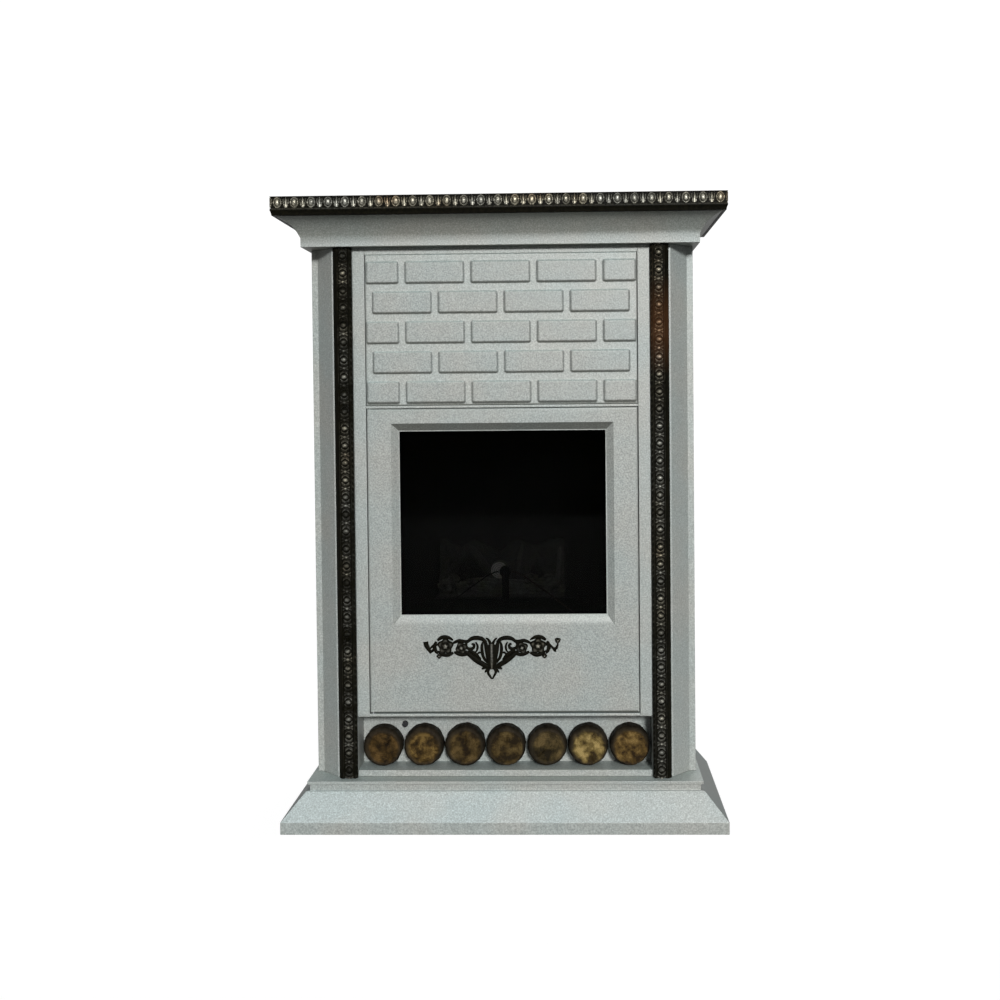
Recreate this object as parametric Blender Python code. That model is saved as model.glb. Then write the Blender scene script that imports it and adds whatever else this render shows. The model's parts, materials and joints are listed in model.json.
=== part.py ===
"""Free-standing gas fireplace with a mantel, a hinged window panel and a log niche.

Metres, +Z up, front towards -Y. The origin is on the floor, at the middle of the width and the depth.
"""

import math

import bmesh
import bpy
from mathutils import Matrix, Vector

for stale in list(bpy.data.objects):
    bpy.data.objects.remove(stale, do_unlink=True)

# Gaps and sheet
CLEAR = 0.0003
SHEET = 0.0015
RUNNING = 0.0003

# Window panel, brick panel and the frame round them
PANEL_HALF = 0.2288
PANEL_FACE = -0.1285
PANEL_PROUD = 0.0025
DOOR_GAP = 0.0012
STILE_WIDTH = 0.0203
STILE_RETURN = 0.026
RAIL_THICKNESS = 0.0042
RAIL_DEPTH = 0.0245
TOP_RAIL_HEIGHT = 0.0125
DOOR_HEIGHT = 0.5164
DOOR_FLANGE = 0.014
DOOR_RADIUS = 0.003
DOOR_TOP_GAP = 0.0010
DOOR_BOTTOM_GAP = 0.0018
BRICK_PANEL_FOLD = 0.012

# Columns and cabinet
COLUMN_FACE = 0.0349
CHAMFER_RUN = 0.030
CHAMFER_DEPTH = 0.036
CORNER_STRIP = 0.0105
COLUMN_SIDE = 0.020
COLUMN_RETURN = 0.020
SIDE_FLANGE = 0.015
BODY_REAR = 0.180

# Mantel
FASCIA_OVERHANG = 0.0075
FASCIA_REACH = 0.0205
FASCIA_HEIGHT = 0.0150
FLARE = 0.043
COVE_HEIGHT = 0.0326
COVE_BULGE = 0.00370
COVE_STEPS = 5
COVE_FLANGE = 0.020
SOFFIT_FLANGE = 0.042
SHELF_HEIGHT = 0.0310
MANTEL_TAIL = 0.005

# Plinth
FOOT_EDGE = 0.020
FOOT_RISE = 0.042
FOOT_RUN = 0.0385
FOOT_FLANGE = 0.022
GROOVE_HEIGHT = 0.0105
GROOVE_DEPTH = 0.004
PLINTH_LEDGE = 0.002
HEARTH_THICKNESS = 0.0055
HEARTH_SIDE_LEDGE = 0.0075
HEARTH_FRONT_LEDGE = 0.025

# Bricks pressed into the upper panel
BRICK_LENGTH = 0.099
BRICK_HEIGHT = 0.0365
BRICK_JOINT = 0.012
COURSE_JOINT = 0.0139
COURSES = 5
BRICK_TOP_MARGIN = 0.0121
BRICK_BOTTOM_MARGIN = 0.0043
BRICK_END_MARGIN = 0.0020
BRICK_RAISE = 0.0035
BRICK_BEVEL = 0.0032

# Window
WINDOW_SIDE_MARGIN = 0.0543
WINDOW_BOTTOM_MARGIN = 0.1662
WINDOW_TOP_MARGIN = 0.0382
RIM_WIDTH = 0.0135
RIM_BOTTOM = 0.0185
RIM_DEPTH = 0.008
RIM_LIP = 0.0015
GASKET_WIDTH = 0.008
GASKET_THICKNESS = 0.002
GLASS_THICKNESS = 0.004
GLASS_OVERLAP = 0.010
RETAINER_GRIP = 0.006
RETAINER_REACH = 0.018

# Hinge and catch
HINGE_INSET = 0.0048
PIN_RADIUS = 0.0025
PIN_REACH = 0.0080
COLLAR_RADIUS = 0.0042
CATCH_WIDTH = 0.0090
CATCH_DEPTH = 0.0120
CATCH_HEIGHT = 0.040
CATCH_RISE = 0.250

# Mantel moulding: a splayed foot, a fillet and the band of eggs and darts
TRIM_THICKNESS = 0.010
TRIM_FOOT = 0.0112
TRIM_FOOT_SPLAY = 0.0060
TRIM_STEP = 0.0028
TRIM_QUIRK = 0.0025
TRIM_FILLET = 0.0012
TRIM_SUNK = 0.0040
TRIM_SLOPE = 0.0010
EGG_PITCH = 0.0278
EGG_RADII = (0.0058, 0.0080)
DART_RADII = (0.0028, 0.0062)
DART_LIFT = 0.0028

# Column moulding: splayed edges, two fillets and the band of eggs and beads
COLUMN_TRIM_WIDTH = 0.031
COLUMN_TRIM_INSET = 0.0003
COLUMN_TRIM_THICKNESS = 0.014
COLUMN_TRIM_EDGE = 0.0055
COLUMN_TRIM_SPLAY = 0.0045
COLUMN_TRIM_FILLET = 0.0017
COLUMN_TRIM_SUNK = 0.0045
COLUMN_EGG_PITCH = 0.029
COLUMN_EGG_RADII = (0.0056, 0.0064)
COLUMN_BEAD_RADII = (0.0030, 0.0030)
COLUMN_BEAD_LIFT = 0.0030
EGG_SHARE = 0.62

# Niche and logs
SILL_HEIGHT = 0.0112
NICHE_HEIGHT = 0.0930
NICHE_DEPTH = 0.056
NICHE_SETBACK = 0.002
LOG_COUNT = 7
LOG_END_MARGIN = 0.0026
LOG_GAP = 0.0009
LOG_LENGTH = 0.0380
LOG_SIDES = 14
LOG_SAW_ROUND = 0.0020

# Scroll ornament, its design drawn 240 units wide
ORNAMENT_WIDTH = 0.240
ORNAMENT_OFFSET = -0.0209
ORNAMENT_RISE = 0.0942
ORNAMENT_RELIEF = 0.007
ORNAMENT_UNITS = 240

# Igniter
IGNITER_SPACE = 0.0121
BUTTON_RADIUS = 0.0050
BUTTON_PROUD = 0.0070
BUTTON_STROKE = 0.0060
BUTTON_STEM = 0.017
PIEZO_RADIUS = 0.009
PIEZO_LENGTH = 0.044

# Firebox
SHELF_RISE = 0.0965
SHELF_SKIRT = 0.015
FIREBOX_SIDE_GAP = 0.010
FIREBOX_FLANGE = 0.015
FIREBOX_SETBACK = 0.0105
FIREBOX_DEPTH = 0.199
FIREBOX_TOP_GAP = 0.0091
SERVICE_HOLE_INSET = 0.045
SERVICE_HOLE_RADIUS = 0.014

# Burner, bed and pilot
BURNER_SIDE_SPACE = 0.080
BURNER_FRONT_SPACE = 0.049
BURNER_DEPTH = 0.105
BURNER_HEIGHT = 0.085
BED_INSET = 0.010
BED_EDGE = 0.012
BED_HEIGHT = 0.108
PILOT_RISE = 0.048
PILOT_DROP = 0.0255
PILOT_WIDTH = 0.012
PILOT_RADIUS = 0.010

# Flue
HOOD_HALF = 0.090
HOOD_DEPTH = 0.100
HOOD_HEIGHT = 0.200
HOOD_SKIRT = 0.015
HOOD_TAPER = 0.018
HOOD_LEAN = 0.030
ROOF_SLOT_MARGIN = 0.012
FLUE_RISE = 0.1224
FLUE_RADIUS = 0.050
FLUE_WALL = 0.0015
FLUE_FLANGE = 0.010
FLUE_PAST_COVER = 0.020

# Gas train: the valve hangs under the firebox shelf, its knob behind the window panel's lower part
VALVE_X = 0.060
VALVE_LENGTH = 0.060
VALVE_DEPTH = 0.060
VALVE_HEIGHT = 0.040
VALVE_DROP = 0.045
SPINDLE_RADIUS = 0.003
SPINDLE_SOCKET = 0.009
KNOB_SETBACK = 0.0205
KNOB_RADIUS = 0.020
KNOB_HEIGHT = 0.0195
KNOB_STROKE = 0.004
KNOB_RIB = 0.002
KNOB_GRIP = 0.0098
BEZEL_THICKNESS = 0.0015
BEZEL_FLANGE = 0.020
BEZEL_HALF = 0.034
BEZEL_BELOW = 0.034
INLET_RADIUS = 0.0075
INLET_PAST_COVER = 0.016
NUT_RADIUS = 0.013
NUT_LENGTH = 0.014
BURNER_PIPE_RADIUS = 0.004
CAPILLARY_RADIUS = 0.0013
PIPE_BEND = 0.020

# Rear cover
LOWER_VENT_RISE = 0.072
UPPER_VENT_RISE = 0.522
VENTS_PER_ROW = 10
VENT_PITCH = 0.046
VENT_WIDTH = 0.008
VENT_HEIGHT = 0.045

# Widths and depths that follow, from the window panel outwards
FACE = PANEL_FACE + PANEL_PROUD
STILE_INNER = PANEL_HALF + DOOR_GAP
STILE_OUTER = STILE_INNER + STILE_WIDTH
COLUMN_INNER = STILE_OUTER + CLEAR
CHAMFER_INNER = COLUMN_INNER + COLUMN_FACE
CHAMFER_OUTER = CHAMFER_INNER + CHAMFER_RUN
BODY_HALF = CHAMFER_OUTER + CORNER_STRIP
CORNER_FRONT = FACE + CHAMFER_DEPTH
SIDE_INNER = BODY_HALF - SHEET
COVER_FRONT = BODY_REAR - SHEET
HEARTH_HALF = BODY_HALF + HEARTH_SIDE_LEDGE
HEARTH_FRONT = PANEL_FACE - HEARTH_FRONT_LEDGE
FASCIA_HALF = BODY_HALF + FASCIA_OVERHANG
FASCIA_FRONT = FACE - FASCIA_REACH
MANTEL_HALF = FASCIA_HALF + FLARE
MANTEL_FRONT = FASCIA_FRONT - FLARE
MANTEL_REAR = BODY_REAR + MANTEL_TAIL
COLUMN_TRIM_X = COLUMN_INNER + COLUMN_TRIM_INSET + COLUMN_TRIM_WIDTH / 2
WINDOW_HALF = PANEL_HALF - WINDOW_SIDE_MARGIN
HINGE_X = -(PANEL_HALF - HINGE_INSET)
HINGE_Y = PANEL_FACE + HINGE_INSET
GLASS_FRONT = PANEL_FACE + RIM_DEPTH + SHEET + CLEAR + GASKET_THICKNESS + CLEAR
NICHE_FRONT = FACE + NICHE_SETBACK
NICHE_BACK = NICHE_FRONT + NICHE_DEPTH
TRAY_HALF = COLUMN_INNER - CLEAR
LOG_PITCH = 2 * (COLUMN_INNER - LOG_END_MARGIN) / LOG_COUNT
LOG_RADIUS = (LOG_PITCH - LOG_GAP) / 2
IGNITER_X = (1 - LOG_COUNT / 2) * LOG_PITCH
FIREBOX_HALF = STILE_INNER - FIREBOX_SIDE_GAP - FIREBOX_FLANGE
FIREBOX_FRONT = PANEL_FACE + DOOR_FLANGE + FIREBOX_SETBACK
FIREBOX_REAR = FIREBOX_FRONT + FIREBOX_DEPTH
SERVICE_HOLE_X = FIREBOX_HALF - SERVICE_HOLE_INSET
BURNER_HALF = FIREBOX_HALF - BURNER_SIDE_SPACE
BURNER_FRONT = FIREBOX_FRONT + BURNER_FRONT_SPACE
BURNER_REAR = BURNER_FRONT + BURNER_DEPTH
BED_HALF = BURNER_HALF - BED_INSET
FLUE_END = BODY_REAR + FLUE_PAST_COVER
INLET_END = BODY_REAR + INLET_PAST_COVER
KNOB_FRONT = PANEL_FACE + KNOB_SETBACK
KNOB_BACK = KNOB_FRONT + KNOB_HEIGHT
BEZEL_FRONT = KNOB_BACK + KNOB_STROKE + CLEAR
VALVE_FRONT = BEZEL_FRONT + BEZEL_THICKNESS + CLEAR
VALVE_REAR = VALVE_FRONT + VALVE_DEPTH

# Levels that follow, from the floor up
SLOPE_TOP = FOOT_EDGE + FOOT_RISE
PLINTH_TOP = SLOPE_TOP + GROOVE_HEIGHT
HEARTH_TOP = PLINTH_TOP + HEARTH_THICKNESS
NICHE_FLOOR = HEARTH_TOP + SILL_HEIGHT
NICHE_TOP = NICHE_FLOOR + NICHE_HEIGHT
RAIL_BOTTOM = NICHE_TOP + CLEAR
DOOR_BOTTOM = RAIL_BOTTOM + RAIL_THICKNESS + DOOR_BOTTOM_GAP
DOOR_TOP = DOOR_BOTTOM + DOOR_HEIGHT
WINDOW_LOW = DOOR_BOTTOM + WINDOW_BOTTOM_MARGIN
WINDOW_HIGH = DOOR_TOP - WINDOW_TOP_MARGIN
MID_RAIL_BOTTOM = DOOR_TOP + DOOR_TOP_GAP
BRICK_PITCH = BRICK_LENGTH + BRICK_JOINT
COURSE_PITCH = BRICK_HEIGHT + COURSE_JOINT
BRICK_BOTTOM = MID_RAIL_BOTTOM + RAIL_THICKNESS + CLEAR
BRICK_TOP = BRICK_BOTTOM + BRICK_BOTTOM_MARGIN + COURSES * COURSE_PITCH - COURSE_JOINT + BRICK_TOP_MARGIN
BODY_TOP = BRICK_TOP + TOP_RAIL_HEIGHT
FASCIA_TOP = BODY_TOP + FASCIA_HEIGHT
COVE_TOP = FASCIA_TOP + COVE_HEIGHT
TOP = COVE_TOP + SHELF_HEIGHT
SHELF_Z = DOOR_BOTTOM + SHELF_RISE
SHELF_TOP = SHELF_Z + SHEET
FIREBOX_BOTTOM = SHELF_TOP + CLEAR
FIREBOX_TOP = DOOR_TOP - FIREBOX_TOP_GAP
BURNER_TOP = FIREBOX_BOTTOM + BURNER_HEIGHT
PILOT_Z = BURNER_TOP + PILOT_RISE
HOOD_BASE = FIREBOX_TOP + SHEET + CLEAR
FLUE_Z = HOOD_BASE + FLUE_RISE
VALVE_Z = SHELF_Z - VALVE_DROP
ORNAMENT_Z = DOOR_BOTTOM + ORNAMENT_RISE
IGNITER_RISE = math.sqrt((LOG_RADIUS + IGNITER_SPACE) ** 2 - (LOG_PITCH / 2) ** 2)
IGNITER_Z = NICHE_FLOOR + LOG_RADIUS + IGNITER_RISE
ROUND = 24


def surface(name, colour, roughness, metallic=0.0):
    """A Principled material with one colour."""
    made = bpy.data.materials.new(name)
    made.use_nodes = True
    shader = made.node_tree.nodes["Principled BSDF"]
    shader.inputs["Base Color"].default_value = (*colour, 1.0)
    shader.inputs["Roughness"].default_value = roughness
    shader.inputs["Metallic"].default_value = metallic
    return made


PAINT = surface("hammered_paint", (0.48, 0.51, 0.49), 0.45, 0.3)
BRONZE = surface("black_bronze", (0.03, 0.027, 0.02), 0.35, 0.8)
STEEL = surface("galvanised_steel", (0.42, 0.43, 0.44), 0.4, 0.9)
BLACK = surface("black_enamel", (0.015, 0.015, 0.015), 0.5, 0.3)
GLASS = surface("dark_glass", (0.01, 0.012, 0.012), 0.08)
SEAL = surface("ceramic_rope", (0.25, 0.24, 0.22), 0.9)
CERAMIC = surface("ceramic_fibre", (0.35, 0.30, 0.24), 0.95)
BARK = surface("log", (0.10, 0.065, 0.035), 0.85)
BRASS = surface("brass", (0.55, 0.42, 0.18), 0.35, 0.95)
COPPER = surface("copper", (0.55, 0.28, 0.16), 0.35, 0.95)
PLASTIC = surface("black_plastic", (0.01, 0.01, 0.01), 0.4)


def publish(name, bm, material, origin=(0.0, 0.0, 0.0), smooth=None):
    """Turn a bmesh in world coordinates into an object whose origin is at the given point."""
    bmesh.ops.recalc_face_normals(bm, faces=bm.faces)
    mesh = bpy.data.meshes.new(name)
    bm.to_mesh(mesh)
    bm.free()
    mesh.transform(Matrix.Translation(-Vector(origin)))
    mesh.materials.append(material)
    if smooth:
        mesh.shade_smooth()
        mesh.set_sharp_from_angle(angle=math.radians(smooth))
    made = bpy.data.objects.new(name, mesh)
    made.location = origin
    bpy.context.collection.objects.link(made)
    return made


def block(name, low, high, material, **how):
    """A box between two corners."""
    bm = bmesh.new()
    size = Vector(high) - Vector(low)
    middle = (Vector(high) + Vector(low)) / 2
    bmesh.ops.create_cube(bm, size=1.0, matrix=Matrix.Translation(middle) @ Matrix.Diagonal((*size, 1.0)))
    return publish(name, bm, material, **how)


def folded(points, thickness=SHEET):
    """Closed outline of a folded strip: the path itself and its parallel on the left-hand side."""
    path = [Vector(point) for point in points]
    inner = []
    for index, point in enumerate(path):
        before = (point - path[index - 1]).normalized() if index > 0 else None
        after = (path[index + 1] - point).normalized() if index < len(path) - 1 else None
        before = before or after
        after = after or before
        left = Vector((-before.y - after.y, before.x + after.x)).normalized()
        spread = left.dot(Vector((-before.y, before.x)))
        inner.append(point + left * thickness / spread)
    return [tuple(point) for point in path + inner[::-1]]


def extruded(name, outline, first, last, material, **how):
    """Solid between two copies of an outline, each placed by its own function."""
    bm = bmesh.new()
    rings = [[bm.verts.new(place(*point)) for point in outline] for place in (first, last)]
    for index in range(len(outline)):
        following = (index + 1) % len(outline)
        bm.faces.new((rings[0][index], rings[0][following], rings[1][following], rings[1][index]))
    bm.faces.new(rings[0])
    bm.faces.new(rings[1][::-1])
    return publish(name, bm, material, **how)


def turned(name, profile, centre, axis, material, segments=ROUND, closed=False, smooth=35, **how):
    """Revolve (radius, distance) points about an axis. A closed profile makes a ring."""
    bm = bmesh.new()
    turn = Vector((0, 0, 1)).rotation_difference(Vector(axis)).to_matrix().to_4x4()
    frame = Matrix.Translation(centre) @ turn
    rings = []
    for radius, distance in profile:
        if radius == 0:
            rings.append([bm.verts.new(frame @ Vector((0, 0, distance)))])
            continue
        angles = [2 * math.pi * step / segments for step in range(segments)]
        rings.append(
            [
                bm.verts.new(frame @ Vector((radius * math.cos(a), radius * math.sin(a), distance)))
                for a in angles
            ]
        )
    pairs = list(zip(rings, rings[1:] + rings[:1]))
    for one, other in pairs if closed else pairs[:-1]:
        for step in range(segments):
            following = (step + 1) % segments
            if len(one) == 1:
                bm.faces.new((one[0], other[step], other[following]))
            elif len(other) == 1:
                bm.faces.new((one[step], other[0], one[following]))
            else:
                bm.faces.new((one[step], other[step], other[following], one[following]))
    if not closed:
        for ring in (rings[0], rings[-1]):
            if len(ring) > 1:
                bm.faces.new(ring)
    return publish(name, bm, material, smooth=smooth, **how)


def rectangle(half, low, high, y, centre=0.0):
    """Four corners of an upright rectangle."""
    left, right = centre - half, centre + half
    return [(left, y, low), (right, y, low), (right, y, high), (left, y, high)]


def banded(bm, loops):
    """Join each loop of points to the next with quads."""
    rings = [[bm.verts.new(point) for point in loop] for loop in loops]
    for one, other in zip(rings, rings[1:]):
        for index in range(len(one)):
            following = (index + 1) % len(one)
            bm.faces.new((one[index], one[following], other[following], other[index]))
    return rings


def thicken(target, thickness=SHEET):
    """Give an open surface its sheet thickness on the side away from its normals."""
    modifier = target.modifiers.new("sheet", "SOLIDIFY")
    modifier.thickness = thickness
    modifier.offset = -1
    modifier.use_even_offset = True
    return target


def face_towards(bm, point):
    """Turn every face's normal to the same side as the point lies of the first face."""
    bmesh.ops.recalc_face_normals(bm, faces=bm.faces)
    bm.faces.ensure_lookup_table()
    first = bm.faces[0]
    if first.normal.dot(Vector(point) - first.calc_center_median()) < 0:
        bmesh.ops.reverse_faces(bm, faces=bm.faces)


def shell(name, bm, towards, material, **how):
    """An open surface facing the given point, thickened away from it."""
    face_towards(bm, towards)
    mesh = bpy.data.meshes.new(name)
    bm.to_mesh(mesh)
    bm.free()
    origin = how.get("origin", (0.0, 0.0, 0.0))
    mesh.transform(Matrix.Translation(-Vector(origin)))
    mesh.materials.append(material)
    made = bpy.data.objects.new(name, mesh)
    made.location = origin
    bpy.context.collection.objects.link(made)
    return thicken(made)


def combine(target, other, operation):
    """Add or cut another solid, which stays in the file as a hidden guide."""
    modifier = target.modifiers.new(operation.lower(), "BOOLEAN")
    modifier.operation = operation
    modifier.object = other
    modifier.solver = "EXACT"
    other.hide_render = True
    other.display_type = "WIRE"


def drill(target, centre, axis, radius, length, segments=ROUND):
    """Cut a round hole whose middle is at the centre."""
    start = Vector(centre) - Vector(axis) * length / 2
    tool = turned("drill", [(radius, 0.0), (radius, length)], start, axis, STEEL, segments=segments)
    combine(target, tool, "DIFFERENCE")


def smooth_route(points, steps=2):
    """Catmull-Rom curve through the points."""
    knots = [Vector(point) for point in points]
    knots = [2 * knots[0] - knots[1]] + knots + [2 * knots[-1] - knots[-2]]
    route = []
    for index in range(1, len(knots) - 2):
        a, b, c, d = knots[index - 1 : index + 3]
        for step in range(steps):
            t = step / steps
            route.append(
                (
                    2 * b
                    + (c - a) * t
                    + (2 * a - 5 * b + 4 * c - d) * t**2
                    + (3 * b - a - 3 * c + d) * t**3
                )
                / 2
            )
    return route + [knots[-2]]


def pipe(name, points, radius, material, resolution=1):
    """A tube along a smooth route."""
    curve = bpy.data.curves.new(name, "CURVE")
    curve.dimensions = "3D"
    curve.bevel_depth = radius
    curve.bevel_resolution = resolution
    curve.use_fill_caps = True
    route = smooth_route(points)
    spline = curve.splines.new("POLY")
    spline.points.add(len(route) - 1)
    for knot, point in zip(spline.points, route):
        knot.co = (*point, 1.0)
    curve.materials.append(material)
    made = bpy.data.objects.new(name, curve)
    bpy.context.collection.objects.link(made)
    return made


def zipper(bm, one, other):
    """Triangles between two rows of vertices that run the same way."""
    i = j = 0
    while i < len(one) - 1 or j < len(other) - 1:
        step_one = i < len(one) - 1
        if step_one and j < len(other) - 1:
            step_one = (one[i + 1].co - one[0].co).length <= (other[j + 1].co - other[0].co).length
        if step_one:
            bm.faces.new((one[i], one[i + 1], other[j]))
            i += 1
        else:
            bm.faces.new((one[i], other[j + 1], other[j]))
            j += 1


def boss(bm, corners, place, centre, radii, height, rings):
    """An egg of eight sides, or with no ring a pointed dart of four, standing in a four-cornered field.
    place(s, h, d) gives world points."""
    s, h, d = centre
    sides = 8 if rings else 4
    previous = None
    for ring in range(rings + 1):
        lift = math.sin(0.5 * math.pi * ring / (rings + 1))
        shrink = math.cos(0.5 * math.pi * ring / (rings + 1))
        current = []
        for step in range(sides):
            angle = math.pi + 2 * math.pi * (step + 0.5) / sides
            across = s + radii[0] * shrink * math.cos(angle)
            up = h + radii[1] * shrink * math.sin(angle)
            current.append(bm.verts.new(place(across, up, d + height * lift)))
        if previous is None:
            per = sides // 4
            for corner in range(4):
                following = (corner + 1) % 4
                left, right = current[per * corner + per - 1], current[per * following]
                bm.faces.new((corners[corner], left, right, corners[following]))
                if per == 2:
                    bm.faces.new((corners[corner], current[per * corner], left))
        else:
            for step in range(sides):
                following = (step + 1) % sides
                bm.faces.new((previous[step], previous[following], current[following], current[step]))
        previous = current
    crown = bm.verts.new(place(s, h, d + height))
    for step in range(sides):
        bm.faces.new((previous[step], previous[(step + 1) % sides], crown))


def moulding(name, section, field, length, pitch, egg, dart, place, mitres, material):
    """Egg-and-dart strip. section is a closed (h, d) outline, and its edge after index field is the band
    that carries the eggs. egg and dart are (half along, half across, lift). mitres gives how far each end
    draws in per unit of depth behind the outer face."""
    bm = bmesh.new()
    outer = max(point[1] for point in section)

    def span(d):
        return mitres[0] * (outer - d), length - mitres[1] * (outer - d)

    starts = [bm.verts.new(place(span(d)[0], h, d)) for h, d in section]
    ends = [bm.verts.new(place(span(d)[1], h, d)) for h, d in section]
    (low, floor), (high, _) = section[field], section[field + 1]
    begin, finish = span(floor)
    count = round((finish - begin) / pitch)
    cell = (finish - begin) / count
    middle = (low + high) / 2
    lower, upper = [starts[field]], [starts[field + 1]]
    for index in range(count):
        edges = (begin + cell * index, begin + cell * (index + EGG_SHARE), begin + cell * (index + 1))
        for part, shape in enumerate((egg, dart)):
            last = index == count - 1 and part == 1
            lower.append(ends[field] if last else bm.verts.new(place(edges[part + 1], low, floor)))
            upper.append(ends[field + 1] if last else bm.verts.new(place(edges[part + 1], high, floor)))
            corners = (lower[-2], lower[-1], upper[-1], upper[-2])
            centre = ((edges[part] + edges[part + 1]) / 2, middle, floor)
            boss(bm, corners, place, centre, shape[:2], shape[2], 1 if part == 0 else 0)
    for index in range(len(section)):
        following = (index + 1) % len(section)
        if index == field - 1:
            zipper(bm, lower, [starts[index], ends[index]])
        elif index == field + 1:
            zipper(bm, upper, [starts[following], ends[following]])
        elif index != field:
            bm.faces.new((starts[index], starts[following], ends[following], ends[index]))
    bm.faces.new(starts)
    bm.faces.new(ends[::-1])
    return publish(name, bm, material, smooth=40)


def mitred_run(name, outline, material, side):
    """A length of profile along the front or one side. outline points are (outward, z), and outward is
    measured from the fascia line for the mantel, or from the hearth edge for the plinth."""
    half, front, rear = side[1], side[2], side[3]
    if side[0] == "front":
        return extruded(
            name,
            outline,
            lambda out, z: (-half - out, front - out, z),
            lambda out, z: (half + out, front - out, z),
            material,
        )
    sign = -1 if side[0] == "left" else 1
    return extruded(
        name,
        outline,
        lambda out, z: (sign * (half + out), front - out + CLEAR * 2, z),
        lambda out, z: (sign * (half + out), rear, z),
        material,
    )


def plinth():
    """Folded skirts with a sloping face, mitred at the front corners, and the plate that they carry."""
    path = [
        (FOOT_RUN - FOOT_FLANGE, 0.0),
        (FOOT_RUN, 0.0),
        (FOOT_RUN, FOOT_EDGE),
        (PLINTH_LEDGE, SLOPE_TOP),
        (-GROOVE_DEPTH, SLOPE_TOP),
        (-GROOVE_DEPTH, PLINTH_TOP - CLEAR),
        (-FOOT_FLANGE, PLINTH_TOP - CLEAR),
    ]
    outline = folded(path)
    for side in ("front", "left", "right"):
        mitred_run("plinth_" + side, outline, PAINT, (side, HEARTH_HALF, HEARTH_FRONT, BODY_REAR))
    inner = HEARTH_HALF - GROOVE_DEPTH - SHEET - CLEAR
    crest = PLINTH_TOP - CLEAR * 2 - SHEET
    rear = folded([(BODY_REAR - FOOT_FLANGE, 0.0), (BODY_REAR, 0.0), (BODY_REAR, crest)])
    extruded("plinth_rear", rear, lambda y, z: (-inner, y, z), lambda y, z: (inner, y, z), PAINT)
    bm = bmesh.new()
    sides = (-HEARTH_HALF, HEARTH_HALF)
    ends = (HEARTH_FRONT,) * 2 + (BODY_REAR,) * 2
    bottom = [(x, y, PLINTH_TOP) for x, y in zip((*sides, *sides[::-1]), ends)]
    top = [(x, y, HEARTH_TOP) for x, y, _ in bottom]
    rings = banded(bm, [bottom, top])
    bm.faces.new(rings[1])
    shell("hearth_plate", bm, (0, MANTEL_FRONT, PLINTH_TOP), PAINT)


def cabinet():
    """Side panels, chamfered front columns with a cheek on each side of the niche, front stiles and
    rails, and the rear cover."""
    low, high = HEARTH_TOP + CLEAR, BODY_TOP - CLEAR
    joint = CORNER_FRONT + COLUMN_SIDE
    for sign, side in ((-1, "left"), (1, "right")):
        column = [
            (BODY_HALF, joint),
            (BODY_HALF, CORNER_FRONT),
            (CHAMFER_OUTER, CORNER_FRONT),
            (CHAMFER_INNER, FACE),
            (COLUMN_INNER, FACE),
            (COLUMN_INNER, FACE + COLUMN_RETURN),
        ]
        stile = [
            (STILE_OUTER, FACE + COLUMN_RETURN),
            (STILE_OUTER, FACE),
            (STILE_INNER, FACE),
            (STILE_INNER, FACE + STILE_RETURN),
        ]
        panel = [
            (BODY_HALF - SIDE_FLANGE, COVER_FRONT - CLEAR),
            (BODY_HALF, COVER_FRONT - CLEAR),
            (BODY_HALF, joint + CLEAR),
        ]
        for name, path, bottom in (
            ("column_", column, low),
            ("stile_", stile, RAIL_BOTTOM),
            ("side_panel_", panel, low),
        ):
            made = extruded(
                name + side,
                folded(path, -SHEET),
                lambda x, y, bottom=bottom: (sign * x, y, bottom),
                lambda x, y: (sign * x, y, high),
                PAINT,
            )
            if name == "column_":
                inner, outer = sorted((sign * COLUMN_INNER, sign * (COLUMN_INNER + SHEET)))
                front, rear = FACE + COLUMN_RETURN - SHEET, NICHE_BACK + SHEET
                cheek = block("cheek", (inner, front, low), (outer, rear, NICHE_TOP), PAINT)
                combine(made, cheek, "UNION")
    span = STILE_INNER - CLEAR
    rail_rear = PANEL_FACE + RAIL_DEPTH
    for name, bottom in (("bottom_rail", RAIL_BOTTOM), ("middle_rail", MID_RAIL_BOTTOM)):
        rail = block(name, (-span, PANEL_FACE, bottom), (span, rail_rear, bottom + RAIL_THICKNESS), PAINT)
        middle = (HINGE_X, HINGE_Y, bottom + RAIL_THICKNESS / 2)
        drill(rail, middle, (0, 0, 1), PIN_RADIUS + RUNNING, RAIL_THICKNESS * 3, segments=12)
    top = folded([(FACE + STILE_RETURN, BRICK_TOP + CLEAR), (FACE, BRICK_TOP + CLEAR), (FACE, high)], -SHEET)
    extruded("top_rail", top, lambda y, z: (-span, y, z), lambda y, z: (span, y, z), PAINT)


def rear_cover():
    """Flat cover with two rows of vents, the flue hole and the gas inlet hole."""
    half = BODY_HALF - CLEAR
    low, high = HEARTH_TOP + CLEAR, BODY_TOP - CLEAR
    cover = block("rear_cover", (-half, COVER_FRONT, low), (half, BODY_REAR, high), PAINT)
    bm = bmesh.new()
    for level in (HEARTH_TOP + LOWER_VENT_RISE, HEARTH_TOP + UPPER_VENT_RISE):
        for index in range(VENTS_PER_ROW):
            x = (index - (VENTS_PER_ROW - 1) / 2) * VENT_PITCH
            size = Matrix.Diagonal((VENT_WIDTH, SHEET * 6, VENT_HEIGHT, 1.0))
            bmesh.ops.create_cube(bm, size=1.0, matrix=Matrix.Translation((x, COVER_FRONT, level)) @ size)
    combine(cover, publish("vent_cutter", bm, STEEL), "DIFFERENCE")
    drill(cover, (0, COVER_FRONT, FLUE_Z), (0, 1, 0), FLUE_RADIUS + CLEAR, SHEET * 6)
    drill(cover, (VALVE_X, COVER_FRONT, VALVE_Z), (0, 1, 0), INLET_RADIUS + CLEAR, SHEET * 6, segments=16)


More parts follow.
